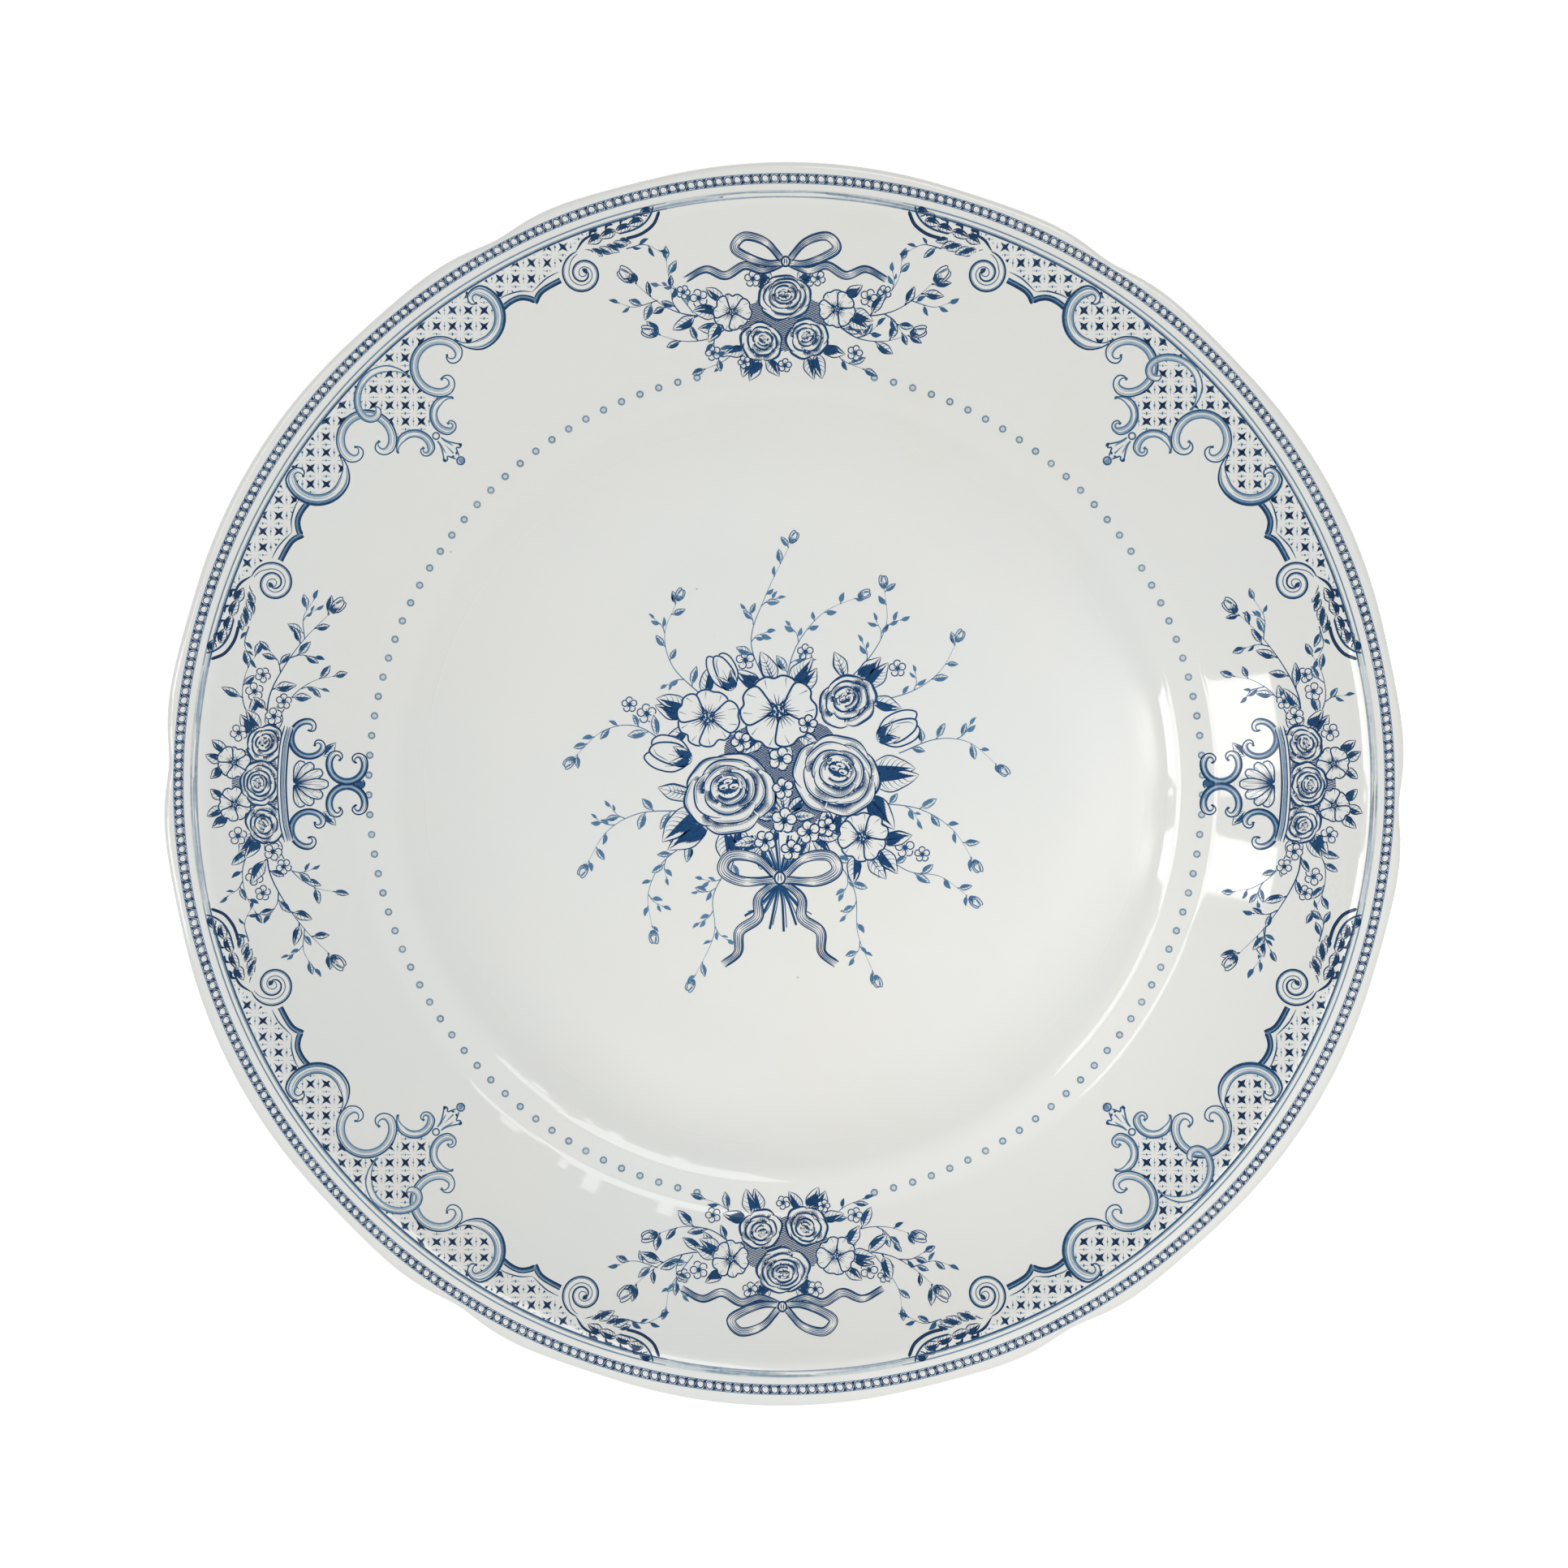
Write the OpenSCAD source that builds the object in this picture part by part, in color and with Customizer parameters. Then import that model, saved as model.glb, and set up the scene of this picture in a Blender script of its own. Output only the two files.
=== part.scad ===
// Porcelain serving bowl: a round well, a wide flange, a lobed rim, a foot ring and printed transfers.
// Millimetres, +Z up. The origin is at the middle of the foot ring's bearing edge.

/* [Well] */
// thickness of the shell everywhere inside the rim
wall = 4.2; // [3.6:0.2:4.8]
// diameter of the flat floor of the well
floor_d = 108; // [98:2:118]
// width in plan of the well's curved side, from the floor to the shoulder
side_w = 38.8; // [34.8:0.2:42.8]
// steepest slope of the well's side, in degrees
well_slope = 38; // [34:1:42]
// radius of the soft shoulder at the top of the well
shoulder_r = 10.6; // [9.6:0.2:11.6]
// length of the narrow ledge around the well
ledge_w = 5.9; // [5.1:0.1:6.7]
// slope of the ledge, in degrees
ledge_slope = 9; // [6:1:12]

/* [Flange] */
// width in plan of the hollow flange
flange_w = 33.45; // [30:0.05:38]
// slope where the flange leaves the ledge, in degrees
flange_slope_in = 29; // [24:1:32]
// slope where the flange meets the crest, in degrees
flange_slope_out = 45; // [40:1:48]
// radius of the crest between the flange and the flat rim band
crest_r = 5.2; // [5:0.2:6]
// width of the flat rim band, out to the circle that the lobes and notches are set out from
rim_w = 6.8; // [6.6:0.2:8]

/* [Lip] */
// thickness of the rim band at the lip, whose edge is a full round
lip_t = 3; // [2.6:0.2:3.2]
// number of lobes around the rim
lobes = 6; // [5:1:8]
// depth of the notch between two lobes
notch_depth = 1.1; // [0.8:0.1:1.2]
// rise of a lobe's crown
crown_rise = 0.5; // [0.3:0.1:0.6]
// rise of the ear on each side of a notch
ear_rise = 0.25; // [0.1:0.05:0.3]
// dip of the hollow between an ear and the crown
hollow_dip = 0.25; // [0.1:0.05:0.3]
// direction of the first notch, in degrees
notch_angle = -2; // [-30:1:30]

/* [Foot] */
// outer diameter of the foot ring
foot_d = 148; // [140:2:156]
// height of the well's flat underside above the table
foot_h = 5.8; // [5:0.2:7]
// width of the foot ring where it is luted to the body
foot_w = 6.4; // [5.6:0.2:7.2]
// width of the foot ring's bearing edge
bearing_w = 2.4; // [2:0.2:3]
// radius of the foot ring's two lower edges
foot_edge_r = 0.8; // [0.5:0.1:0.9]

/* [Printed transfers] */
// thickness of a transfer
print_t = 0.12; // [0.1:0.02:0.2]
// clearance between a transfer and the glaze under it
print_lift = 0.02; // [0.01:0.01:0.05]
// width of the bead border
bead_w = 1.7; // [1.3:0.1:1.7]
// width of the ring of little circles on the ledge
dot_ring_w = 1.7; // [1.4:0.1:1.8]
// half of the gap in that ring at each of the two deep sprays, in degrees
dots_gap_angle = 12; // [11:1:15]
// half of the angle between the end scallops of a trellis panel, in degrees
trellis_half_angle = 27; // [25:1:30]
// depth of a trellis panel's middle scallop, measured from the rim band
trellis_depth = 29; // [26:1:30]
// overlap of the middle scallop with its neighbours
scallop_lap = 9; // [7:1:10]
// overlap of those with the end scallops
end_lap = 3.2; // [2.6:0.2:4]
// reach of the central spray from the middle of the floor
centre_reach = 63; // [56:1:68]

/* [Hidden] */
$fn = 96;

// The upper surface is a chain of arcs and straights from the floor out to the rim.
function dir(a) = [cos(a), sin(a)];
function up(a) = [-sin(a), cos(a)];
floor_z = foot_h + wall;
floor_end = [floor_d / 2, floor_z];
cove_r = side_w / sin(well_slope);
cove_c = floor_end + [0, cove_r];
shoulder_c = cove_c - (cove_r + shoulder_r) * up(well_slope);
ledge_start = shoulder_c + shoulder_r * up(ledge_slope);
ledge_end = ledge_start + ledge_w * dir(ledge_slope);
spring_r = 8;
spring_c = ledge_end + spring_r * up(ledge_slope);
flange_start = spring_c - spring_r * up(flange_slope_in);
flange_end_r = flange_start[0] + flange_w;
flange_r = flange_w / (sin(flange_slope_out) - sin(flange_slope_in));
band_start_r = flange_end_r + crest_r * sin(flange_slope_out);
bowl_r = band_start_r + rim_w;
flange_c = flange_start + flange_r * up(flange_slope_in);
crest_c = flange_c - (flange_r + crest_r) * up(flange_slope_out);
rim_z = crest_c[1] + crest_r;

// An arc of that chain at a depth t below the surface: dish turns upwards, brow turns over.
function dish(c, r, s0, s1, steps, t) = [for (i = [0 : steps]) c - (r + t) * up(s0 + (s1 - s0) * i / steps)];
function brow(c, r, s0, s1, steps, t) = [for (i = [0 : steps]) c + (r - t) * up(s0 + (s1 - s0) * i / steps)];
function well_arcs(t) = concat(dish(cove_c, cove_r, 0, well_slope, 22, t),
                               brow(shoulder_c, shoulder_r, well_slope, ledge_slope, 14, t));
function ledge_line(t) = [ledge_start - t * up(ledge_slope), ledge_end - t * up(ledge_slope)];
function flange_arcs(t) = concat(dish(spring_c, spring_r, ledge_slope, flange_slope_in, 5, t),
                                 dish(flange_c, flange_r, flange_slope_in, flange_slope_out, 12, t));
function crest_arc(s0, s1, t) = brow(crest_c, crest_r, s0, s1, 10, t);
function back(v) = [for (i = [len(v) - 1 : -1 : 0]) v[i]];

// The lip's outline is a function of the angle from the nearest notch.
edge_r = lip_t / 2;
pitch = 360 / lobes;
line_r = bowl_r - edge_r;
notch_half_angle = 2.8;
ear_angle = 6.6;
ear_half_angle = 3.2;
hollow_angle = 14.5;
hollow_half_angle = 4.5;
crown_power = 6;
function bell(x, span) = exp(-pow(x / span, 2));
function outline(u) = line_r + crown_rise * pow(sin(180 * u / pitch), crown_power)
    + ear_rise * bell(u - ear_angle, ear_half_angle) - hollow_dip * bell(u - hollow_angle, hollow_half_angle)
    - notch_depth * bell(u, notch_half_angle);
overlap = 0.5;
core_r = line_r - notch_depth - overlap;
tread_r = core_r - 2 * overlap;

function shell_profile() = concat([[0, floor_z]], well_arcs(0), ledge_line(0), flange_arcs(0),
    crest_arc(flange_slope_out, 0, 0),
    [[core_r, rim_z], [core_r, rim_z - lip_t], [tread_r, rim_z - lip_t], [band_start_r, rim_z - wall]],
    back(crest_arc(flange_slope_out, 0, wall)), back(flange_arcs(wall)), back(ledge_line(wall)),
    back(well_arcs(wall)), [[0, foot_h]]);

// Half of the angles of one lobe, closer together at the notch, mirrored and repeated around the rim.
half_steps = [0, 1.2, 2.4, 4, 6, 8.5, 11, 14, 17, 20, 23.4, 26.7];
lobe_steps = concat([for (u = half_steps) u * pitch / 60], [pitch / 2],
                    [for (i = [len(half_steps) - 1 : -1 : 1]) pitch - half_steps[i] * pitch / 60]);
stations = [for (k = [0 : lobes - 1]) for (u = lobe_steps) [notch_angle + k * pitch + u, min(u, pitch - u)]];
edge_steps = 6;
function lip_section(r) = concat([[tread_r, rim_z - lip_t], [tread_r, rim_z]],
    [for (i = [0 : edge_steps]) [r, rim_z - edge_r] + edge_r * dir(90 - 180 * i / edge_steps)]);

module lip() {
    n = len(stations);
    m = edge_steps + 3;
    points = [for (s = stations) for (p = lip_section(outline(s[1]))) [p[0] * cos(s[0]), p[0] * sin(s[0]), p[1]]];
    polyhedron(points, [for (i = [0 : n - 1]) for (j = [0 : m - 1])
        let (a = i * m, b = ((i + 1) % n) * m, k = (j + 1) % m)
        each [[a + j, b + j, b + k], [a + j, b + k, a + k]]]);
}

module bowl_body() color("white") {
    rotate_extrude() polygon(shell_profile());
    lip();
}

// The ring's top follows the underside of the well's curved side.
foot_lean = 12;
function seat_z(x) = lookup(x, well_arcs(wall));
module foot_ring() color("ivory") rotate_extrude() {
    outer = foot_d / 2;
    inner = outer - foot_w;
    middle = outer - foot_w / 2;
    polygon(concat([[inner, seat_z(inner)]],
        [for (i = [0 : 6]) [middle - bearing_w / 2, foot_edge_r]
            + foot_edge_r * dir(180 + foot_lean + (90 - foot_lean) * i / 6)],
        [for (i = [0 : 6]) [middle + bearing_w / 2, foot_edge_r]
            + foot_edge_r * dir(270 + (90 - foot_lean) * i / 6)],
        [[outer, seat_z(outer)]],
        back([for (p = well_arcs(wall)) if (p[0] > inner && p[0] < outer) p])));
}

// A transfer is a thin layer that lies on the glaze and follows a run of the surface chain.
under = -print_lift;
over = -print_lift - print_t;
module layer(lower, upper) rotate_extrude() polygon(concat(lower, back(upper)));

bead_margin = 0.05;
bead_r = line_r - notch_depth - bead_margin - bead_w / 2;
module bead_border() color("lightsteelblue")
    translate([0, 0, rim_z + print_lift]) linear_extrude(print_t) difference() {
        circle(bead_r + bead_w / 2);
        circle(bead_r - bead_w / 2);
    }

line_slope = 15;
line_flat_w = 0.4;
function line_run(t) = concat(crest_arc(line_slope, 0, t), [[band_start_r + line_flat_w, rim_z - t]]);
module rim_line() color("slategray") layer(line_run(under), line_run(over));

// The trellis panels' scalloped inner edges are runs of overlapping circles standing on the rim band.
trellis_slope = line_slope + 2;
side_share = 0.6;
function chord(turn) = 2 * band_start_r * sin(turn / 2);
side_scallop_r = chord(side_share * trellis_half_angle) - trellis_depth + scallop_lap;
end_scallop_r = chord((1 - side_share) * trellis_half_angle) - side_scallop_r + end_lap;
module scallop(turn, r) for (side = [-1, 1]) rotate(side * turn) translate([band_start_r, 0]) circle(r);
function trellis_run(t) = concat(dish(flange_c, flange_r, flange_slope_in, flange_slope_out, 12, t),
                                 crest_arc(flange_slope_out, trellis_slope, t));
module trellis(turn) color("steelblue") intersection() {
    layer(trellis_run(under), trellis_run(over));
    rotate(turn) linear_extrude(rim_z + wall) {
        translate([band_start_r, 0]) circle(trellis_depth);
        scallop(side_share * trellis_half_angle, side_scallop_r);
        scallop(trellis_half_angle, end_scallop_r);
    }
}
module trellis_ne() trellis(45);
module trellis_nw() trellis(135);
module trellis_sw() trellis(225);
module trellis_se() trellis(315);

// Sprays are ovals bent around the flange between the panels; two of them dip over the ledge as well.
spray_margin = 0.5;
spray_half_h = (flange_end_r - ledge_end[0]) / 2 - spray_margin;
spray_mid = (flange_end_r + ledge_end[0]) / 2;
spray_half_angle = 18;
spray_dip = ledge_w * 0.8;
spray_sides = 22;
function spray_run(t) = concat(ledge_line(t), flange_arcs(t));
function spray_edge(a, dip) = (spray_mid + (sin(a) < 0 ? spray_half_h + dip : spray_half_h) * sin(a))
    * dir(spray_half_angle * cos(a));
module spray(turn, dip) color("cornflowerblue") intersection() {
    layer(spray_run(under), spray_run(over));
    rotate(turn) linear_extrude(rim_z)
        polygon([for (i = [0 : spray_sides - 1]) spray_edge((i + 0.5) * 360 / spray_sides, dip)]);
}
module spray_n() spray(90, spray_dip);
module spray_e() spray(0, 0);
module spray_s() spray(270, spray_dip);
module spray_w() spray(180, 0);

// The ring of little circles runs along the ledge and stops for the two deep sprays.
dots_at = 0.62 * ledge_w;
function dots_run(t) = [for (x = [dots_at - dot_ring_w / 2, dots_at + dot_ring_w / 2])
    ledge_start + x * dir(ledge_slope) - t * up(ledge_slope)];
module dots(turn) color("lightsteelblue") intersection() {
    layer(dots_run(under), dots_run(over));
    reach = bowl_r * 2;
    rotate(turn) linear_extrude(rim_z)
        polygon([[0, 0], reach * dir(dots_gap_angle - 90), [reach, 0], reach * dir(90 - dots_gap_angle)]);
}
module dots_e() dots(0);
module dots_w() dots(180);

// The central spray lies on the floor and reaches a little way up the well's side.
function centre_run(t) = concat([[0, floor_z - t]], dish(cove_c, cove_r, 0, well_slope / 2, 5, t));
module centre_spray() color("royalblue") intersection() {
    layer(centre_run(under), centre_run(over));
    linear_extrude(rim_z) {
        circle(centre_reach * 0.68);
        for (side = [-1, 1]) {
            translate([0, side * centre_reach * 0.5]) circle(centre_reach * 0.5);
            translate([side * centre_reach * 0.5, 0]) circle(centre_reach * 0.36);
        }
    }
}

bowl_body();
foot_ring();
bead_border();
rim_line();
trellis_ne();
trellis_nw();
trellis_sw();
trellis_se();
spray_n();
spray_e();
spray_s();
spray_w();
dots_e();
dots_w();
centre_spray();
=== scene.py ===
import random
from math import atan2, cos, degrees, exp, hypot, pi, radians, sin

import bmesh
import bpy
import numpy as np
from mathutils import Matrix, Vector


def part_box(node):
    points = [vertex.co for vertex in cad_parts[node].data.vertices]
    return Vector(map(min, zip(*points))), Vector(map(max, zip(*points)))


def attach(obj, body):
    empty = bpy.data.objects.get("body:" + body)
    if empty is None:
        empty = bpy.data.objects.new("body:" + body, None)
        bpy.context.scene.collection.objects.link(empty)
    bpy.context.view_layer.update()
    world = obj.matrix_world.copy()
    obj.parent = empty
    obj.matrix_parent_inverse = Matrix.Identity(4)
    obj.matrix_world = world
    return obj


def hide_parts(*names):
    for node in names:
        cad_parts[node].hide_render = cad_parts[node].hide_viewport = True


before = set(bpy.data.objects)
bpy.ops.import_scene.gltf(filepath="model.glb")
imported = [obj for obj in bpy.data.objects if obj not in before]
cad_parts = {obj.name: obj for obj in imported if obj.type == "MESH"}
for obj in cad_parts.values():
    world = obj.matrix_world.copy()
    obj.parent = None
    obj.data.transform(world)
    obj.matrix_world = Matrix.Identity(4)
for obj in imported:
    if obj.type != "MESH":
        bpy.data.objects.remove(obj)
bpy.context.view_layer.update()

mm = 0.001
scene = bpy.context.scene


def addObject(name, data):
    piece = bpy.data.objects.new(name, data)
    scene.collection.objects.link(piece)
    return piece


# camera: straight above, far away, so that the plan reads without perspective

cameraSettings = {"height": 8.0, "frameWidth": 0.37925, "sensor": 36.0, "clip": (0.5, 60)}
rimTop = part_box("bowl_body")[1].z
lens = cameraSettings["sensor"] * (cameraSettings["height"] - rimTop) / cameraSettings["frameWidth"]
cameraData = bpy.data.cameras.new("camera")
cameraData.sensor_width, cameraData.lens = cameraSettings["sensor"], lens
cameraData.clip_start, cameraData.clip_end = cameraSettings["clip"]
camera = addObject("camera", cameraData)
camera.location = (0, 0, cameraSettings["height"])
scene.camera = camera
print("camera placed")


# the glaze line: the upper surface from the middle of the well to the rim, in millimetres

glaze = {"footHeight": 5.8, "wall": 4.2, "floorRadius": 54.0, "sideWidth": 38.8, "wellSlope": 38.0,
         "shoulderRadius": 10.6, "ledgeLength": 5.9, "ledgeSlope": 9.0, "springRadius": 8.0,
         "flangeWidth": 33.45, "flangeIn": 29.0, "flangeOut": 45.0, "crestRadius": 5.2, "rimWidth": 6.73,
         "lipThickness": 3.0}


def aim(angle):  # a unit step in a direction in degrees
    return np.array([cos(radians(angle)), sin(radians(angle))])


def uphill(slope):
    return np.array([-sin(radians(slope)), cos(radians(slope))])


def glazeLine(depth=0.0, fine=1.0):  # points [radius, height] at a depth below the surface
    g = glaze
    floorEnd = np.array([g["floorRadius"], g["footHeight"] + g["wall"]])
    coveRadius = g["sideWidth"] / sin(radians(g["wellSlope"]))
    coveCentre = floorEnd + [0, coveRadius]
    shoulderCentre = coveCentre - (coveRadius + g["shoulderRadius"]) * uphill(g["wellSlope"])
    ledgeStart = shoulderCentre + g["shoulderRadius"] * uphill(g["ledgeSlope"])
    ledgeEnd = ledgeStart + g["ledgeLength"] * aim(g["ledgeSlope"])
    springCentre = ledgeEnd + g["springRadius"] * uphill(g["ledgeSlope"])
    flangeStart = springCentre - g["springRadius"] * uphill(g["flangeIn"])
    flangeRadius = g["flangeWidth"] / (sin(radians(g["flangeOut"])) - sin(radians(g["flangeIn"])))
    flangeCentre = flangeStart + flangeRadius * uphill(g["flangeIn"])
    crestCentre = flangeCentre - (flangeRadius + g["crestRadius"]) * uphill(g["flangeOut"])

    # a hollow where radius is positive, a brow where it is negative
    def sweep(centre, radius, fromSlope, toSlope, steps):
        slopes = np.linspace(fromSlope, toSlope, max(2, int(steps * fine)) + 1)
        return [centre - (radius + depth) * uphill(slope) for slope in slopes]

    points = [np.array([g["floorRadius"] * f, floorEnd[1] - depth]) for f in (0.2, 0.5, 0.8)]
    points += sweep(coveCentre, coveRadius, 0, g["wellSlope"], 20)
    points += sweep(shoulderCentre, -g["shoulderRadius"], g["wellSlope"], g["ledgeSlope"], 20)[1:]
    points += [(ledgeStart + ledgeEnd) / 2 - depth * uphill(g["ledgeSlope"])]
    points += sweep(springCentre, g["springRadius"], g["ledgeSlope"], g["flangeIn"], 8)
    points += sweep(flangeCentre, flangeRadius, g["flangeIn"], g["flangeOut"], 14)[1:]
    points += sweep(crestCentre, -g["crestRadius"], g["flangeOut"], 0, 12)[1:]
    return points


upperLine = np.array([[0.0, glaze["footHeight"] + glaze["wall"]]] + [list(p) for p in glazeLine(0.0, 3.0)])
bandStart, bandTop = upperLine[-1]
lineRadius = bandStart + glaze["rimWidth"] - glaze["lipThickness"] / 2


def glazeHeight(radius):
    return np.interp(radius, upperLine[:, 0], upperLine[:, 1])


def glazeNormals(spots):  # the surface's own direction under plan points
    radius = np.hypot(spots[:, 0], spots[:, 1])
    slope = (glazeHeight(radius + 0.05) - glazeHeight(radius - 0.05)) / 0.1
    out = spots / np.maximum(radius, 1e-6)[:, None]
    n = np.column_stack([-out[:, 0] * slope, -out[:, 1] * slope, np.ones(len(spots))])
    return n / np.linalg.norm(n, axis=1)[:, None]


lobes = {"count": 6, "firstNotch": -2.0, "notch": 1.1, "notchSpan": 2.8, "crown": 0.5, "crownPower": 6,
         "ear": 0.25, "earAt": 6.6, "earSpan": 3.2, "hollow": 0.25, "hollowAt": 14.5, "hollowSpan": 4.5}


def lipRadius(angle):  # radius of the lip's middle line in a direction in degrees
    k, pitch = lobes, 360 / lobes["count"]
    u = (angle - k["firstNotch"]) % pitch
    u = min(u, pitch - u)
    bump = lambda x, span: exp(-((x / span) ** 2))
    crown = k["crown"] * sin(radians(180 * u / pitch)) ** k["crownPower"]
    return (lineRadius + crown + k["ear"] * bump(u - k["earAt"], k["earSpan"])
            - k["hollow"] * bump(u - k["hollowAt"], k["hollowSpan"]) - k["notch"] * bump(u, k["notchSpan"]))


# shader helpers

class socketValue:  # a shader socket that can be used in sums
    def __init__(self, tree, link):
        self.tree, self.link = tree, link

    def node(self, kind, settings, inputs, output=0):
        n = self.tree.nodes.new(kind)
        for key, value in settings.items():
            if key == "stops":
                while len(n.color_ramp.elements) < len(value):
                    n.color_ramp.elements.new(0.5)
                for e, (at, colour) in zip(n.color_ramp.elements, value):
                    e.position, e.color = at, (*colour, 1)
            else:
                setattr(n, key, value)
        for key, value in inputs.items():
            if isinstance(value, socketValue):
                self.tree.links.new(value.link, n.inputs[key])
            else:
                n.inputs[key].default_value = value
        return socketValue(self.tree, n.outputs[output])

    def sum(self, kind, a, b=0.0):
        return self.node("ShaderNodeMath", {"operation": kind}, {0: a, 1: b})

    def __add__(self, other): return self.sum("ADD", self, other)
    def __radd__(self, other): return self.sum("ADD", other, self)
    def __sub__(self, other): return self.sum("SUBTRACT", self, other)
    def __rsub__(self, other): return self.sum("SUBTRACT", other, self)
    def __mul__(self, other): return self.sum("MULTIPLY", self, other)
    def __rmul__(self, other): return self.sum("MULTIPLY", other, self)

    def noise(self, scale, detail=2.0):
        return self.node("ShaderNodeTexNoise", {}, {"Vector": self, "Scale": scale, "Detail": detail})

    def between(self, low, high):  # 0 below low, 1 above high
        return self.node("ShaderNodeMapRange", {}, {"Value": self, "From Min": low, "From Max": high})

    def blend(self, a, b):  # the colour a where this is 0 and b where it is 1
        full = lambda c: c if isinstance(c, socketValue) else (*c, 1)
        return self.node("ShaderNodeMix", {"data_type": "RGBA"}, {0: self, 6: full(a), 7: full(b)}, 2)


def newMaterial(name, constants):
    material = bpy.data.materials.new(name)
    material.use_nodes = True
    tree = material.node_tree
    shader = tree.nodes["Principled BSDF"]
    for key, value in constants.items():
        shader.inputs[key].default_value = value
    spot = tree.nodes.new("ShaderNodeTexCoord").outputs["Object"]
    return material, shader, socketValue(tree, spot)


def feed(shader, socket, value):
    value.tree.links.new(value.link, shader.inputs[socket])


def linear(r, g, b):  # a colour as it is mixed on screen, as light
    return tuple(c / 12.92 if c <= 0.04045 else ((c + 0.055) / 1.055) ** 2.4 for c in (r / 255, g / 255, b / 255))


# porcelain

porcelain = {"IOR": 1.5, "body": linear(229, 230, 226), "warm": linear(230, 228, 221), "cool": linear(224, 228, 228),
             "speck": linear(150, 140, 126), "bisque": linear(222, 214, 198), "grit": linear(196, 186, 168),
             "cloudScale": 9.0, "cloudSpan": (0.35, 0.65), "patchScale": 46.0, "patchSpan": (0.3, 0.7),
             "mottle": 0.6, "speckScale": 95.0, "speckSize": (0.02, 0.034), "chanceScale": 61.0,
             "chanceSpan": (0.66, 0.7), "speckDepth": 0.5,
             # use has softened the gloss of the well
             "rimGloss": 0.035, "wellGloss": 0.4, "wellEdge": (0.084, 0.0935),
             "patchGloss": 0.012, "patchGlossSpan": (0.3, 0.75), "cloudGloss": 0.01, "cloudGlossSpan": (0.4, 0.7),
             "rippleScale": 26.0, "ripple": 0.02, "rippleDepth": 0.004,
             "edgeScale": 240.0, "grainScale": 1500.0, "grainSpan": (0.35, 0.7), "grain": 0.25, "grainDepth": 0.0002,
             "bareUpTo": (0.0009, 0.0013), "bareWander": 0.0006, "bareRoughness": 0.72, "glazeSmooths": 0.62}


def glazedPorcelain(name):
    k = porcelain
    material, shader, spot = newMaterial(name, {"IOR": k["IOR"], "Coat IOR": k["IOR"]})
    cloud, patch = spot.noise(k["cloudScale"], 3.0), spot.noise(k["patchScale"])
    colour = cloud.between(*k["cloudSpan"]).blend(k["cool"], k["warm"])
    colour = (patch.between(*k["patchSpan"]) * k["mottle"]).blend(k["body"], colour)
    cells = spot.node("ShaderNodeTexVoronoi", {"feature": "F1"}, {"Vector": spot, "Scale": k["speckScale"]})
    chance = spot.noise(k["chanceScale"], 0.0)
    speck = (1 - cells.between(*k["speckSize"])) * chance.between(*k["chanceSpan"]) * k["speckDepth"]
    feed(shader, "Base Color", speck.blend(colour, k["speck"]))
    plan = spot.node("ShaderNodeVectorMath", {"operation": "MULTIPLY"}, {0: spot, 1: (1.0, 1.0, 0.0)})
    radius = plan.node("ShaderNodeVectorMath", {"operation": "LENGTH"}, {0: plan}, 1)
    gloss = k["rimGloss"] + k["patchGloss"] * patch.between(*k["patchGlossSpan"])
    gloss = gloss + k["cloudGloss"] * cloud.between(*k["cloudGlossSpan"])
    softer = (1 - radius.between(*k["wellEdge"])) * (k["wellGloss"] - k["rimGloss"])
    feed(shader, "Roughness", gloss + softer)
    wave = spot.noise(k["rippleScale"], 1.5)
    bump = {"Strength": k["ripple"], "Distance": k["rippleDepth"], "Height": wave}
    feed(shader, "Normal", wave.node("ShaderNodeBump", {}, bump))
    return material


def footPorcelain(name):  # glazed on its sides, bare and ground flat where it stands
    k = porcelain
    material, shader, spot = newMaterial(name, {"IOR": k["IOR"]})
    height = spot.node("ShaderNodeSeparateXYZ", {}, {0: spot}, 2)
    edge, grain = spot.noise(k["edgeScale"], 3.0), spot.noise(k["grainScale"])
    glazed = (height + (edge - 0.5) * k["bareWander"]).between(*k["bareUpTo"])
    bare = grain.between(*k["grainSpan"]).blend(k["bisque"], k["grit"])
    feed(shader, "Base Color", glazed.blend(bare, k["body"]))
    feed(shader, "Roughness", k["bareRoughness"] - k["glazeSmooths"] * glazed)
    bump = {"Strength": k["grain"], "Distance": k["grainDepth"], "Height": grain * (1 - glazed)}
    feed(shader, "Normal", grain.node("ShaderNodeBump", {}, bump))
    return material


# bowl

shell = {"stations": 480, "lipSteps": 10, "underFine": 0.7, "bandShares": (0.25, 0.6, 0.85), "lipRoot": 2.7,
         "flareRoot": (1.2, 0.5), "lobeEase": 1.5}


def finishPiece(name, work, material, shadeSmooth=True):
    mesh = bpy.data.meshes.new(name)
    work.to_mesh(mesh)
    work.free()
    for face in mesh.polygons:
        face.use_smooth = shadeSmooth
    mesh.materials.append(material)
    return addObject(name, mesh)


def spinProfile(points, steps, closed=True):  # turns a line of [radius, height] points about the bowl's axis
    work = bmesh.new()
    verts = [work.verts.new((r * mm, 0, z * mm)) for r, z in points]
    edges = [work.edges.new(pair) for pair in zip(verts, verts[1:] + (verts[:1] if closed else []))]
    bmesh.ops.spin(work, geom=verts + edges, cent=(0, 0, 0), axis=(0, 0, 1), angle=2 * pi, steps=steps,
                   use_merge=True)
    bmesh.ops.remove_doubles(work, verts=work.verts, dist=1e-7)
    bmesh.ops.recalc_face_normals(work, faces=work.faces)
    return work


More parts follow.
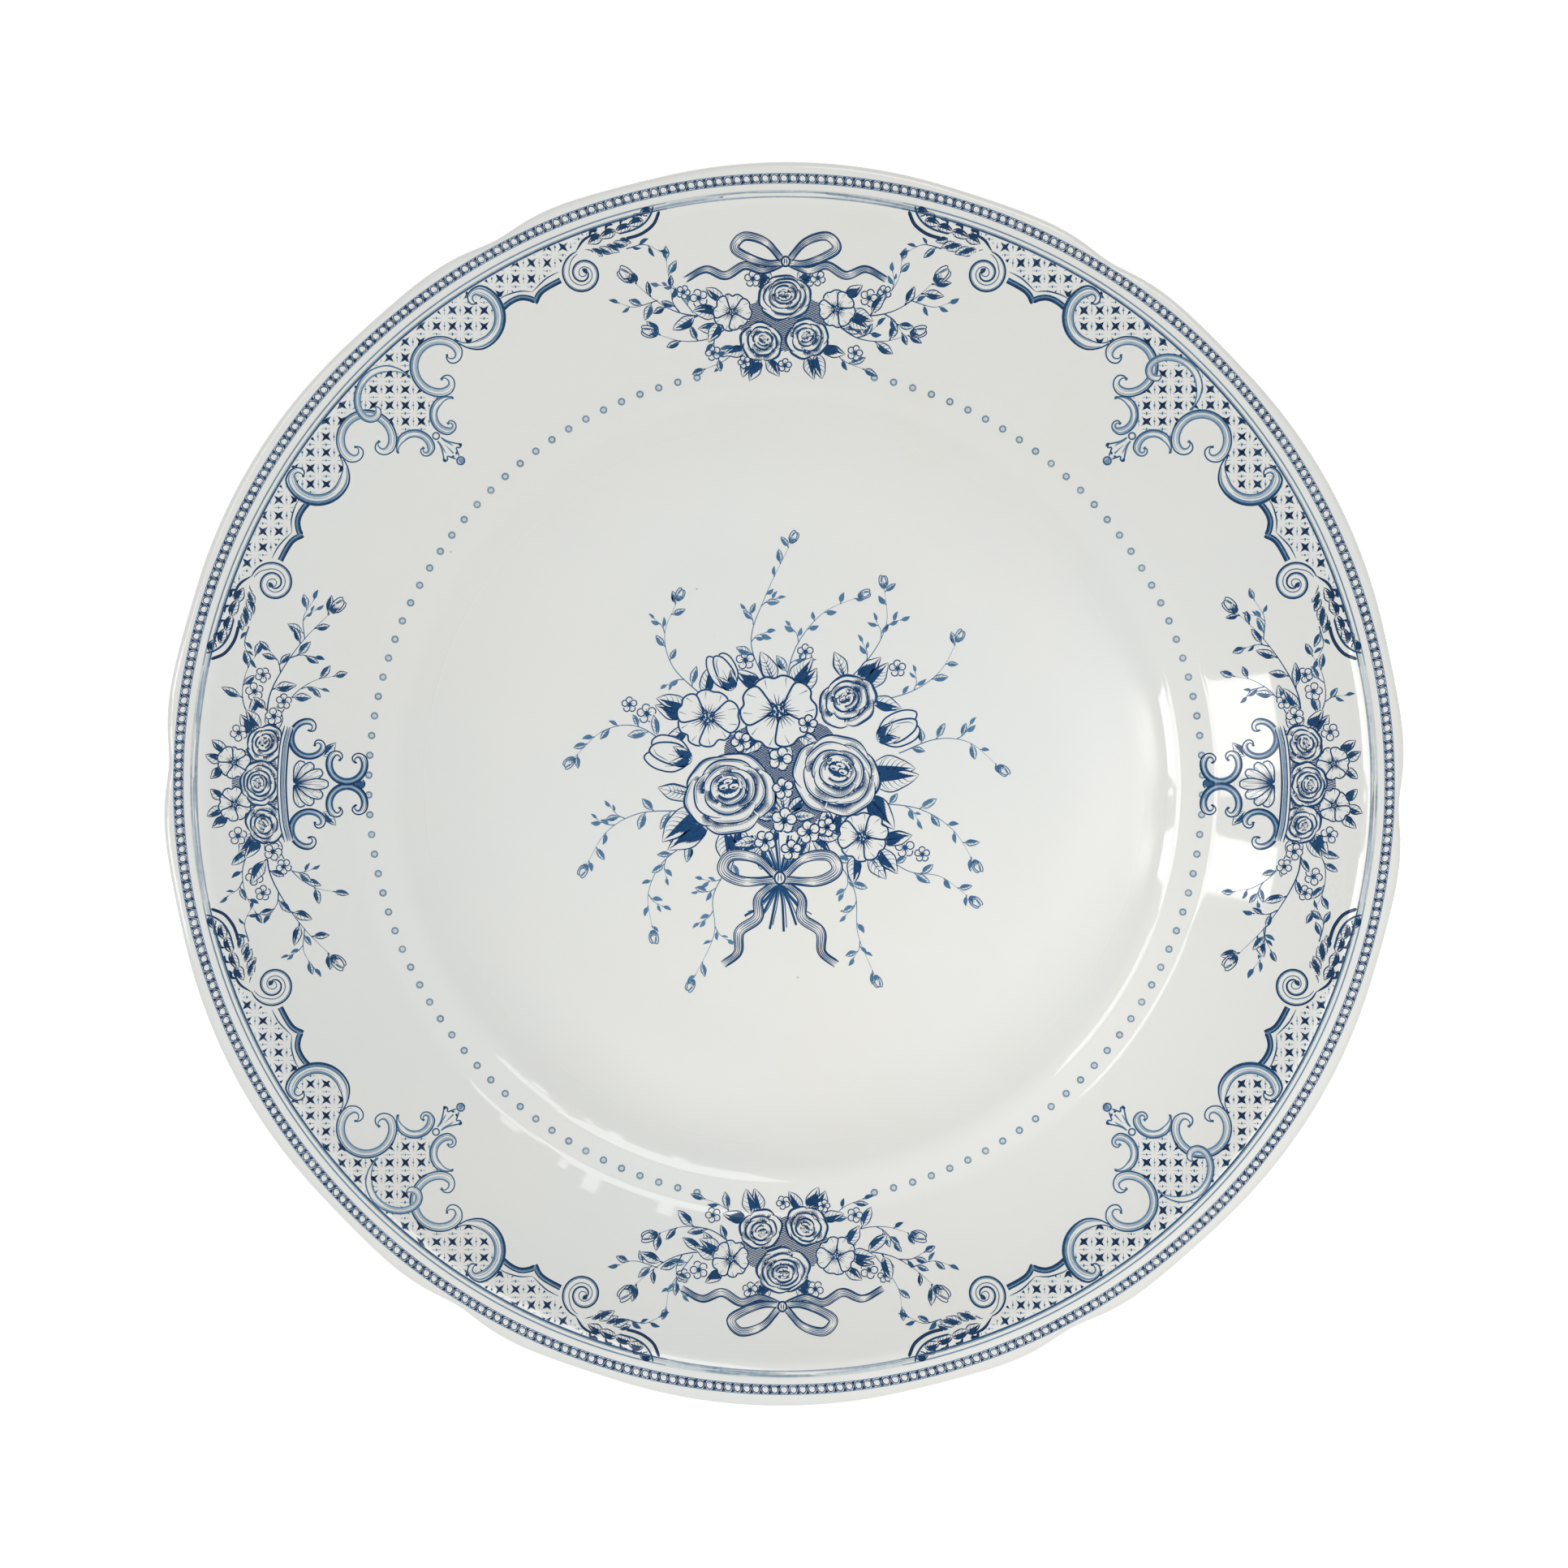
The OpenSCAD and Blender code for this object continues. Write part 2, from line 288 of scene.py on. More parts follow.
def buildBowl():
    g = glaze
    half = g["lipThickness"] / 2
    upper = [np.array([0.0, g["footHeight"] + g["wall"]])] + glazeLine()
    steps = shell["lipSteps"]
    lip = [np.array([lineRadius, bandTop - half]) + half * aim(90 - 180 * i / steps) for i in range(steps + 1)]
    out, up = shell["flareRoot"]
    under = [np.array([bandStart + shell["lipRoot"], bandTop - g["lipThickness"]]),
             np.array([bandStart + out, bandTop - g["wall"] + up])]
    lower = glazeLine(g["wall"], shell["underFine"])[::-1] + [np.array([0.0, g["footHeight"]])]
    band = [np.array([bandStart + (lineRadius - bandStart) * f, bandTop]) for f in shell["bandShares"]]
    points = upper + band + lip + under + lower
    work = spinProfile(points, shell["stations"], closed=False)
    for v in work.verts:  # the lobed outline, eased in across the flat band
        r = hypot(v.co.x, v.co.y)
        ease = (r / mm - bandStart) / (lineRadius - bandStart)
        if ease > 0:
            lobe = (lipRadius(degrees(atan2(v.co.y, v.co.x))) - lineRadius) * mm
            grow = 1 + lobe * min(1, ease) ** shell["lobeEase"] / r
            v.co.x, v.co.y = v.co.x * grow, v.co.y * grow
    piece = finishPiece("glazedBowl", work, glazedPorcelain("glazed porcelain"))
    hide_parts("bowl_body")
    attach(piece, "root")
    print("bowl turned:", len(piece.data.polygons), "faces")


footShape = {"outer": 74.0, "width": 6.4, "bearing": 2.4, "edge": 0.8, "lean": 12, "sunk": 0.3,
             "flare": 0.9, "flankHeight": 1.2, "flankIn": (0.35, 0.1), "cornerSteps": 6, "seatSteps": 5}


def buildFoot():
    f = footShape
    outer, inner, middle, reach = f["outer"], f["outer"] - f["width"], f["outer"] - f["width"] / 2, f["bearing"] / 2
    below = glazeLine(glaze["wall"], shell["underFine"])
    underside = np.array([[0.0, glaze["footHeight"]]] + [list(point) for point in below])

    def seat(x):  # luted a little into the shell
        return np.array([x, np.interp(x, underside[:, 0], underside[:, 1]) + f["sunk"]])

    def flank(x, side):  # half way down the inner or the outer side
        low = np.array([middle + side * (reach + f["flare"]), f["flankHeight"]])
        return seat(x) * 0.5 + low * 0.5 - np.array([side * f["flankIn"][0], f["flankIn"][1]])

    def corner(x, a0, a1):
        steps = f["cornerSteps"]
        return [np.array([x, f["edge"]]) + f["edge"] * aim(a0 + (a1 - a0) * i / steps) for i in range(steps + 1)]

    points = [seat(inner), flank(inner, -1)] + corner(middle - reach, 180 + f["lean"], 270)
    points += corner(middle + reach, 270, 360 - f["lean"]) + [flank(outer, 1)]
    points += [seat(x) for x in np.linspace(outer, inner, f["seatSteps"])[:-1]]
    work = spinProfile(points, shell["stations"])
    piece = finishPiece("footRing", work, footPorcelain("foot porcelain"))
    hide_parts("foot_ring")
    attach(piece, "root")
    print("foot ring turned")


buildBowl()
buildFoot()


# drawing in plan millimetres: front motifs are drawn first and hide what comes after

inkSettings = {"step": 0.32, "hatchStep": 0.12, "finest": 0.035, "weight": 1.4}

widthShapes = {
    "even": lambda t: np.clip(np.minimum(t, 1 - t) * 14 + 0.45, 0, 1),
    "swell": lambda t: 0.16 + 0.84 * np.sin(pi * t) ** 0.8,
    "thorn": lambda t: 1 - 0.9 * t,
    "drop": lambda t: np.sin(pi * np.clip(t, 0, 1) ** 0.75) ** 0.9 + 0.02,
    "bar": lambda t: 0 * t + 1,
    "pinch": lambda t: 1 - 0.86 * np.sin(pi * t),
}

plainFrame = (np.eye(2), np.zeros(2))  # a turn and a place


def evenly(points, step):  # the same path with evenly spaced points
    points = np.asarray(points, float)
    gone = np.concatenate([[0], np.cumsum(np.hypot(*np.diff(points, axis=0).T))])
    s = np.linspace(0, gone[-1], max(2, int(gone[-1] / step) + 1))
    return np.stack([np.interp(s, gone, points[:, 0]), np.interp(s, gone, points[:, 1])], 1)


def flowing(points, closed=False):  # a smooth curve through a few points
    p = np.asarray(points, float)
    if len(p) < 3:
        return p
    before, after = (p[-1:], p[:2]) if closed else (2 * p[:1] - p[1:2], 2 * p[-1:] - p[-2:-1])
    q = np.concatenate([before, p, after])
    t = np.linspace(0, 1, 12, endpoint=False)[:, None]
    runs = []
    for k in range(1, len(q) - 2):
        a, b, c, d = q[k - 1], q[k], q[k + 1], q[k + 2]
        runs.append(0.5 * (2 * b + (c - a) * t + (2 * a - 5 * b + 4 * c - d) * t**2 + (3 * b - a - 3 * c + d) * t**3))
    return np.concatenate(runs + [q[-2:-1]])


def across(path):  # the unit side vector at each point of a path
    d = np.gradient(path, axis=0)
    d /= np.maximum(np.hypot(d[:, 0], d[:, 1]), 1e-9)[:, None]
    return np.stack([-d[:, 1], d[:, 0]], 1)


def inside(outline, spots):  # which spots lie inside a closed outline
    x, y = spots[:, 0:1], spots[:, 1:2]
    x0, y0 = outline[:, 0], outline[:, 1]
    x1, y1 = np.roll(x0, -1), np.roll(y0, -1)
    tall = (y0 > y) != (y1 > y)
    return (tall & (x < (x1 - x0) * (y - y0) / np.where(y1 == y0, 1, y1 - y0) + x0)).sum(1) % 2 == 1


def oval(centre, wide, tall, turns):  # points round a centre at angles in radians
    return np.stack([centre[0] + wide * np.cos(turns), centre[1] + tall * np.sin(turns)], 1)


def runs(shown, least):  # the unbroken stretches that are longer than least
    ends = np.flatnonzero(np.diff(np.concatenate([[0], shown.astype(int), [0]])))
    return [(a, b) for a, b in zip(ends[::2], ends[1::2]) if b - a > least]


class inkSheet:
    def __init__(self, seed, press=1.0):  # press is how firmly the transfer was inked
        self.strokes, self.masks, self.boxes, self.frames = [], [], [], [plainFrame]
        self.dice, self.press, self.within = random.Random(seed), press, None

    def enter(self, at=(0, 0), turn=0, flip=False):  # later drawing is placed and turned from here
        m, o = self.frames[-1]
        c, s = cos(radians(turn)), sin(radians(turn))
        local = np.array([[c, -s], [s, c]]) @ np.diag([-1 if flip else 1, 1])
        self.frames.append((m @ local, m @ np.asarray(at, float) + o))

    def leave(self):
        self.frames.pop()

    def place(self, points):
        m, o = self.frames[-1]
        return np.asarray(points, float) @ m.T + o

    def vary(self, low, high):
        return self.dice.uniform(low, high)

    def hide(self, outline):  # what is drawn later doesn't show inside this outline
        spots = self.place(outline)
        self.masks.append(spots)
        self.boxes.append([*spots.min(0), *spots.max(0)])

    def open(self, path):
        shown = np.ones(len(path), bool) if self.within is None else inside(self.within, path)
        if self.masks:
            lo, hi, b = path.min(0), path.max(0), np.array(self.boxes)
            for k in np.nonzero((b[:, 0] < hi[0]) & (b[:, 1] < hi[1]) & (b[:, 2] > lo[0]) & (b[:, 3] > lo[1]))[0]:
                shown &= ~inside(self.masks[k], path)
        return shown

    def line(self, points, width, tone, shape="swell"):  # a smooth line through a few points
        self.stroke(flowing(points), width, tone, shape)

    def stroke(self, points, width, tone, shape="swell", step=None):
        path = evenly(self.place(points), step or inkSettings["step"])
        full = width * inkSettings["weight"] * self.press
        half = np.maximum(widthShapes[shape](np.linspace(0, 1, len(path))) * full / 2, inkSettings["finest"])
        for a, b in runs(self.open(path), 1):
            self.strokes.append((path[a:b], half[a:b], tone))

    def fill(self, outline, tone, angle, gap, width=None, smooth=True):  # close hatching up to the outline
        edge = self.place(flowing(outline, True) if smooth else outline)
        d = aim(angle)
        n = np.array([-d[1], d[0]])
        u, v = edge @ d, edge @ n
        keep, self.frames = self.frames, [plainFrame]
        limit, self.within = self.within, None
        fine = inkSettings["hatchStep"]
        for y in np.arange(v.min() + gap / 2, v.max(), gap):
            row = np.arange(u.min(), u.max() + fine, fine)[:, None] * d + y * n
            good = inside(edge, row)
            if limit is not None:
                good &= inside(limit, row)
            for a, b in runs(good, 2):
                self.stroke(row[[a, b - 1]], (width or gap * 1.04) / inkSettings["weight"], tone, "bar", 0.3)
        self.frames, self.within = keep, limit

    def dot(self, at, radius, tone):
        ends = [np.array(at) - [radius, 0], np.array(at) + [radius, 0]]
        self.stroke(ends, radius * 2, tone, "drop", radius / 4)

    def dash(self, at, way, length, width, tone):  # a short touch with its middle at a point
        self.stroke([at - way * length / 2, at + way * length / 2], width, tone, "swell", 0.24)

    def ring(self, at, radius, width, tone, squash=1.0, count=14):
        path = oval(at, radius, squash * radius, np.linspace(0, 2 * pi, count + 1))
        self.stroke(path, width, tone, "bar", 2 * pi * radius / count)


# leaves, flowers and scrolls, each drawn in its own small frame

def leaf(sheet, at, turn, length, width, curl, look, tone, rim, side=1):
    sheet.enter(at, turn)
    t = np.linspace(0, 1, 19)
    mid = np.stack([length * t, curl * length * t**2 * (1.15 - 0.4 * t)], 1)
    n = across(mid)
    wave = 1 + 0.06 * np.sin(11 * t + sheet.vary(0, 6))
    wide = (width / 2 * np.sin(pi * t**0.82) ** 0.9 * wave)[:, None]
    upper, lower = mid + n * wide, mid - n * wide
    sheet.line(mid[1:-1], 0.75 * rim, tone, "thorn")
    sheet.line(upper, rim * (1.25 if side > 0 else 0.8), tone)
    sheet.line(lower, rim * (0.8 if side > 0 else 1.25), tone)
    gap = 0.3
    rows = max(2, int(width / 2 / gap))
    if look in ("half", "full"):
        for s in (side,) if look == "half" else (1, -1):
            for k in range(rows):
                f = (k + 0.7) / rows
                near = (0.06 + 0.1 * f, 0.97 - 0.55 * f * sheet.vary(0.5, 1)) if s == side else None
                start, stop = near or (0.1, 0.8 - 0.45 * f)
                part = (t >= start) & (t <= stop)
                if part.sum() > 2:
                    sheet.line((mid + s * n * wide * f)[part], width / 2 / rows * 1.15, tone, "swell")
    if look in ("half", "light"):
        for s in (-side,) if look == "half" else (1, -1):
            for k in range(2 + int(length / 2.6)):
                i = 3 + int(k * 11 / (2 + int(length / 2.6)))
                j = min(18, i + 3)
                a, b = mid[i], (mid + s * n * wide * 0.86)[j]
                sheet.line([a, (a + b) / 2 + 0.04 * length * s * n[i], b], 0.6 * rim, tone * 0.6, "thorn")
        if look == "light":
            sheet.line((mid + side * n * wide * 0.3)[1:11], 1.5 * rim, tone * 0.8, "thorn")
    sheet.hide(np.concatenate([upper, lower[::-1]]))
    sheet.leave()


def petal(sheet, at, turn, length, width, notch, tone, rim, hatch, reach):
    sheet.enter(at, turn)
    w, a, b = width / 2, sheet.vary(0.93, 1.04), sheet.vary(0.93, 1.04)
    half = [(0.08, 0.16), (0.34, 0.62 * a), (0.64, 0.98 * a), (0.88, 0.8 * a), (1.0, 0.36)]
    edge = [(length * x, w * y) for x, y in half] + [(length * (1 - notch), 0.03 * w)]
    edge += [(length * x, -w * y * b / a) for x, y in half[::-1]]
    edge = flowing(edge, True)
    sheet.stroke(edge, rim, tone, "bar")
    for k in range(hatch):
        f = (k + 0.5) / hatch * 2 - 1
        far = length * reach * sheet.vary(0.6, 1.15) * (1 - 0.25 * abs(f))
        sheet.line([(0.05 * length, f * 0.12 * w), (0.5 * far, f * 0.4 * w), (far, f * 0.62 * w)], 0.75 * rim, tone,
                   "thorn")
    for f in (-0.62, 0.55):
        sheet.line([(0.9 * length, f * w * 0.8), (0.62 * length, f * w * 0.72)], 0.5 * rim, tone * 0.6, "thorn")
    sheet.hide(edge)
    sheet.leave()


def blossom(sheet, at, radius, turn, tone, rim):
    sheet.enter(at, turn)
    r, squash = 0.17 * radius, 0.92
    for k in range(5):
        sheet.dot(aim(72 * k + 20) * r * 0.62, 0.26 * r, tone)
    sheet.dot((0, 0), 0.3 * r, tone)
    ring = oval((0, 0), r, r, np.linspace(0, 2 * pi, 20))
    sheet.stroke(ring, rim * 0.9, tone, "bar")
    sheet.hide(ring)
    for k in (0, 2, 4, 1, 3):
        a = 72 * k + sheet.vary(-5, 5)
        long = radius * (squash + (1 - squash) * abs(cos(radians(a)))) * sheet.vary(0.94, 1.04)
        wide = 1.16 * radius * sheet.vary(0.92, 1.05)
        petal(sheet, aim(a) * r * 0.7, a, long - r * 0.7, wide, sheet.vary(0.03, 0.13), tone, rim, 6, 0.5)
    sheet.leave()


def floret(sheet, at, radius, turn, tone, rim=0.2):
    sheet.enter(at, turn)
    sheet.dot((0, 0), 0.2 * radius, tone)
    for k in range(5):
        c, r = aim(72 * k) * radius * 0.58, 0.4 * radius
        edge = oval(c, r, r, np.linspace(0, 2 * pi, 13))
        sheet.stroke(edge, rim, tone, "bar", step=r * 0.5)
        sheet.stroke([c * 0.35, c * 0.95], rim * 0.8, tone * 0.8, "thorn")
        sheet.hide(edge)
    sheet.leave()


def rose(sheet, at, big, turn, tone, squash, rings):
    sheet.enter(at, turn)
    heart = np.array([0, 0.14 * big])
    unit = np.linspace(0, 2 * pi, 25)
    for k in range(3):  # the furled petals in the heart
        c = heart + np.array([(-0.11, 0.0), (0.1, -0.03), (0.0, 0.09)][k]) * big
        e = oval(c, 0.1 * big, 0.065 * big, unit)
        sheet.stroke(e[3:23], 0.022 * big, tone)
        sheet.line([c + [-0.05 * big, -0.02 * big], c + [0.05 * big, -0.02 * big]], 0.03 * big, tone, "swell")
        sheet.hide(e)
    sheet.fill(oval(heart, 0.24 * big, 0.165 * big, unit), tone, sheet.vary(-20, 20), 0.26, smooth=False)
    for k in range(10):
        a = sheet.vary(0, 360)
        sheet.stroke([heart + aim(a) * [0.2 * big, 0.14 * big], heart + aim(a + 12) * [0.29 * big, 0.21 * big]], 0.2,
                     tone, "thorn")
    sheet.hide(oval(heart, 0.27 * big, 0.19 * big, unit))
    inner = 0.27
    for ring in range(rings):
        outer = 0.27 + 0.73 * ((ring + 1) / rings) ** 1.15
        count = (3, 3, 4, 5, 6)[ring + (rings == 3)]
        first = sheet.vary(0, 360)
        middle = heart * (1 - outer) ** 0.7 * 1.1
        order = list(range(count))
        sheet.dice.shuffle(order)
        for k in order:
            a0 = first + 360 / count * k + sheet.vary(-10, 10)
            half = 360 / count * sheet.vary(0.6, 0.72)
            t = np.linspace(-1, 1, 21)
            wave = 1 + (0.03 + 0.02 * ring) * np.sin(7 * t + a0)
            lobe = (1 - 0.62 * np.abs(t) ** 2.6) * wave * sheet.vary(0.92, 1.06)
            ang = np.radians(a0 + half * t)
            low = 0.86 + 0.14 * np.clip(-np.sin(ang), -0.4, 1)
            at0, span = big * inner, big * (outer - inner)
            edge = middle + np.stack([np.cos(ang), np.sin(ang) * squash], 1) * ((at0 + span * lobe * low)[:, None])
            sheet.stroke(edge, (0.36 if ring == rings - 1 else 0.3) * sheet.vary(0.85, 1.25), tone)
            inset = middle + (edge - middle) * (1 - 0.05 / outer)
            p = int(sheet.vary(1, 8))
            sheet.stroke(inset[p:p + 11], 0.15, tone * 0.6)
            s0 = sheet.vary(0.35, 0.8) * (1 if sheet.vary(0, 1) > 0.5 else -1)
            dense = 0.3 / (radians(half) * big * (inner + 0.08))
            for s in np.arange(-0.95, 0.97, dense):
                a = radians(a0 + half * s)
                deep = (0.74 - 0.1 * ring) * exp(-(((s - s0) / (0.34 - 0.04 * ring)) ** 2)) * sheet.vary(0.75, 1.1)
                far = 0.1 + deep + (0.2 if ring < 2 else 0.1) * (cos(a + 0.9) > 0.3)
                if far < 0.2:
                    continue
                way = np.array([cos(a), sin(a) * squash]) * big
                sheet.stroke([middle + way * inner * 0.9, middle + way * (inner + (outer - inner) * far)], 0.26,
                             tone, "thorn")
            sheet.hide(np.concatenate([[middle], edge]))
        inner = outer * 0.97
    sheet.leave()


def bud(sheet, at, turn, length, tone, rim, openness):
    sheet.enter(at, turn)
    w = length * (0.24 + 0.2 * openness)
    for s in (1, -1):  # sepals
        leaf(sheet, (0, 0), s * 34, 0.5 * length, 0.2 * length, -0.3 * s, "full", tone, 0.2)
    front = flowing([(0, 0), (0.35 * length, -0.72 * w), (0.82 * length, -0.5 * w), (0.96 * length, 0.1 * w),
                     (0.7 * length, 0.5 * w), (0.3 * length, 0.55 * w)], True)
    sheet.stroke(front, rim, tone, "bar")
    for f in (-0.5, -0.25, 0.0, 0.2):
        sheet.stroke([(0.06 * length, f * 0.3 * w), (length * sheet.vary(0.35, 0.6), f * w)], 0.2, tone, "thorn")
    sheet.line([(0.5 * length, 0.42 * w), (0.78 * length, 0.2 * w), (0.88 * length, -0.1 * w)], 0.16, tone * 0.6)
    sheet.hide(front)
    for s, far in ((1, 0.98), (-1, 0.9)):
        back = flowing([(0.05 * length, 0), (0.3 * length, s * 0.95 * w), (0.75 * length, s * 1.05 * w),
                        (far * length * 1.06, s * 0.55 * w), (0.8 * length, 0)], True)
        sheet.stroke(back, rim * 0.9, tone, "bar")
        for f in (0.55, 0.8):
            sheet.stroke([(0.1 * length, s * f * 0.5 * w), (0.55 * length, s * f * w)], 0.24, tone, "thorn")
        sheet.hide(back)
    sheet.leave()


def twig(sheet, points, size, count, tone, stem, look="half", start=0.15, lean=38, tip=True, shoots=True):
    path = evenly(flowing(points), 0.2)
    d = np.gradient(path, axis=0)
    heading = np.degrees(np.arctan2(d[:, 1], d[:, 0]))
    count = max(3, int(count * 0.8))
    s = 1 if sheet.vary(0, 1) > 0.5 else -1
    for k in range(count):
        t = start + (0.97 - start) * (k + sheet.vary(-0.32, 0.32) * (0 < k < count - 1)) / (count - 1)
        i = int(np.clip(t * (len(path) - 1), 0, len(path) - 1))
        s = -s if sheet.vary(0, 1) > 0.16 else s
        turn = heading[i] + s * (lean + sheet.vary(-18, 16))
        long = size * (1.18 - 0.42 * t) * sheet.vary(0.62, 1.22)
        if k == count - 1 and tip:
            turn, long = heading[i] + sheet.vary(-10, 10), size * sheet.vary(0.7, 0.95)
        at = path[i]
        # a small side shoot in place of a leaf
        if shoots and size > 3 and 0 < k < count - 2 and sheet.vary(0, 1) > 0.66:
            far = at + aim(turn) * size * 1.25 + aim(turn + 90) * size * 0.3 * s
            twig(sheet, [at, at + aim(turn) * size * 0.6, far], size * 0.72, 4, tone * 0.92, stem * 0.85, look, 0.3,
                 34, True, False)
            continue
        foot = at + aim(turn) * long * 0.16
        sheet.stroke([at, foot], stem * 0.9, tone * 0.95, "bar")
        if long > 2.7:
            leaf(sheet, foot, turn + sheet.vary(-8, 8), long, long * sheet.vary(0.34, 0.46),
                 sheet.vary(-0.12, 0.24) * s, look, tone, 0.24, s)
        else:
            sheet.line([foot, foot + aim(turn) * long * 0.5 + aim(turn + 90) * long * 0.08 * s,
                        foot + aim(turn) * long], long * sheet.vary(0.26, 0.36), tone, "drop")
    sheet.stroke(path, stem, tone * 0.95, "thorn")


def windingPath(turnIn, turnOut, plain, eyes):  # a path that curls up at both ends
    theta = np.linspace(-turnIn, turnOut, 260)
    excess = np.maximum(np.abs(theta) - plain / 2, 0)
    eye = np.where(theta < 0, eyes[0], eyes[1])
    radius = eye * np.exp(-0.2 * excess) + (1 - eye) * np.exp(-((excess / 0.75) ** 2))
    step = np.stack([np.cos(theta), np.sin(theta)], 1) * radius[:, None]
    return np.cumsum(step, 0) * (theta[1] - theta[0]), radius


def laid(path, p, q, flip):  # the path moved so that it runs from p to q
    z = path[:, 0] + 1j * path[:, 1] * (-1 if flip else 1)
    p, q = complex(*p), complex(*q)
    k = (q - p) / (z[-1] - z[0])
    w = (z - z[0]) * k + p
    return np.stack([w.real, w.imag], 1), abs(k)


def scroll(sheet, p, q, turnIn, turnOut, plain, eyes, flip, band, tone, heavy, shade, backs):
    path, radius = windingPath(turnIn, turnOut, plain, eyes)
    path, size = laid(path, p, q, flip)
    n = across(path) * (-1 if flip else 1)  # towards the hollow side
    ends = np.linspace(0, 1, len(path))
    wide = (np.minimum(band, radius * size * 0.8) * np.clip(np.minimum(ends, 1 - ends) * 8, 0.2, 1))[:, None]
    hollow, back = path + n * wide / 2, path - n * wide / 2
    m = len(path)
    sheet.stroke(back, 0.26, tone, "bar")
    a, b = int(backs[0] * m), int(backs[1] * m)
    sheet.stroke((path - n * (wide / 2 - 0.1))[a:b], heavy, tone * 1.1)
    sheet.stroke((path - n * wide * 0.22)[a:b], heavy, tone * 0.5)
    sheet.stroke(hollow, 0.22, tone * 0.8, "bar")
    for f, s, e, w, t in ((0.36, 0.1, 0.88, 0.34, 0.75), (0.14, 0.2, 0.74, 0.26, 0.32)):
        sheet.stroke((path + n * wide * f)[int(s * m):int(e * m)], w, tone * shade * t * 1.4)
    for end in (0, -1):
        sheet.dot(path[end] + (n * wide)[end] * 0.2, 0.3, tone)
    sheet.hide(np.concatenate([hollow, back[::-1]]))


def rail(sheet, points, offsets):  # parallel lines along one path: (offset, width, tone)
    path = evenly(flowing(points), 0.3)
    n = across(path)
    for off, width, tone in offsets:
        sheet.stroke(path + n * off, width, tone, "even")
    lo, hi = min(o[0] for o in offsets), max(o[0] for o in offsets)
    sheet.hide(np.concatenate([path + n * hi, (path + n * lo)[::-1]]))


def ribbon(sheet, points, width, tone, folds):  # a silk band with shaded folds
    path = evenly(flowing(points), 0.3)
    n = across(path)
    t = np.linspace(0, 1, len(path))
    wide = width / 2 * (0.55 + 0.45 * np.sin(pi * np.clip(t, 0.12, 0.88)))[:, None]
    a, b = path + n * wide, path - n * wide
    sheet.stroke(a, 0.28, tone, "even")
    sheet.stroke(b, 0.2, tone, "even")
    for k in range(folds):
        c = (k + 0.5) / folds + sheet.vary(-0.06, 0.06)
        for j in range(4):
            f = -0.66 + 0.44 * j
            span = 0.06 + 0.08 * sheet.vary(0.5, 1.2)
            part = (t > c - span) & (t < c + span)
            if part.sum() > 2:
                sheet.stroke((path + n * wide * f)[part], 0.18, tone * 0.8)
    sheet.hide(np.concatenate([a, b[::-1]]))


# the ornament of the rim and flange

rimInk = {"beads": 408, "beadLine": 146.5, "beadAcross": 0.9, "beadAlong": 0.86, "slant": 0.12, "beadRing": 0.17,
          "beadEdge": 1.16, "lineOut": 143.45, "lineIn": 142.05, "dots": 132, "dotLine": 101.2, "dotRadius": 0.72,
          "dotGap": 12.0, "dotShift": (0.4, -0.25)}


def arc(radius, a0, a1, step=0.8):  # points along a circle about the bowl's axis, in degrees
    count = max(3, int(abs(a1 - a0) * pi / 180 * radius / step))
    return oval((0, 0), radius, radius, np.radians(np.linspace(a0, a1, count)))


def beadBorder():
    s, k = inkSheet(11), rimInk
    a = np.linspace(0, 2 * pi, 13)
    for i in range(k["beads"]):
        s.enter(aim(360 * i / k["beads"]) * k["beadLine"], 360 * i / k["beads"])
        x, y = k["beadAcross"] * np.cos(a), k["beadAlong"] * np.sin(a)
        s.stroke(np.stack([x, y + k["slant"] * x], 1), k["beadRing"] * s.vary(0.9, 1.15), 0.8, "bar", step=0.36)
        # the shaded side of a bead
        s.stroke([(-0.5, 0.3), (-0.55, -0.1), (-0.3, -0.45)], 0.15, 0.25, "swell", step=0.3)
        gap = pi * k["beadLine"] / k["beads"]  # the dark ground between this bead and the next
        s.stroke([(-1.02, gap - k["slant"]), (1.02, gap + k["slant"])], 0.8 * s.vary(0.9, 1.1), 0.97, "pinch",
                 step=0.2)
        s.leave()
    for side in (1, -1):
        s.stroke(arc(k["beadLine"] + side * k["beadEdge"], 0, 360), 0.13, 0.42, "bar", step=0.9)
    return s


def rimLine():
    s, k = inkSheet(12), rimInk
    middle, wide = (k["lineOut"] + k["lineIn"]) / 2, k["lineOut"] - k["lineIn"]
    for turn in (45, 135, 225, 315):  # two clear lines along each panel
        for r, w, t in ((k["lineOut"], 0.24, 0.5), (k["lineIn"], 0.34, 0.96), (k["lineIn"] + 0.42, 0.18, 0.3)):
            s.stroke(arc(r, turn - 33.5, turn + 33.5), w, t, "even", step=0.9)
    s.stroke(arc(k["lineIn"], 0, 360), 0.2, 0.34, "bar", step=0.9)
    s.stroke(arc(middle, 0, 360), wide * 0.94, 0.0, "bar", step=0.9)
    for turn in (0, 90, 180, 270):  # between the panels the line is a soft wash with long streaks
        s.stroke(arc(middle, turn - 13, turn + 13), wide * 0.9, 0.05, "swell", step=0.9)
        for _ in range(15):
            r, a = middle + s.vary(-0.46, 0.46) * wide, turn + s.vary(-15, 8)
            s.stroke(arc(r, a, a + s.vary(3, 8)), s.vary(0.14, 0.32), s.vary(0.14, 0.36), "swell", step=0.7)
    return s


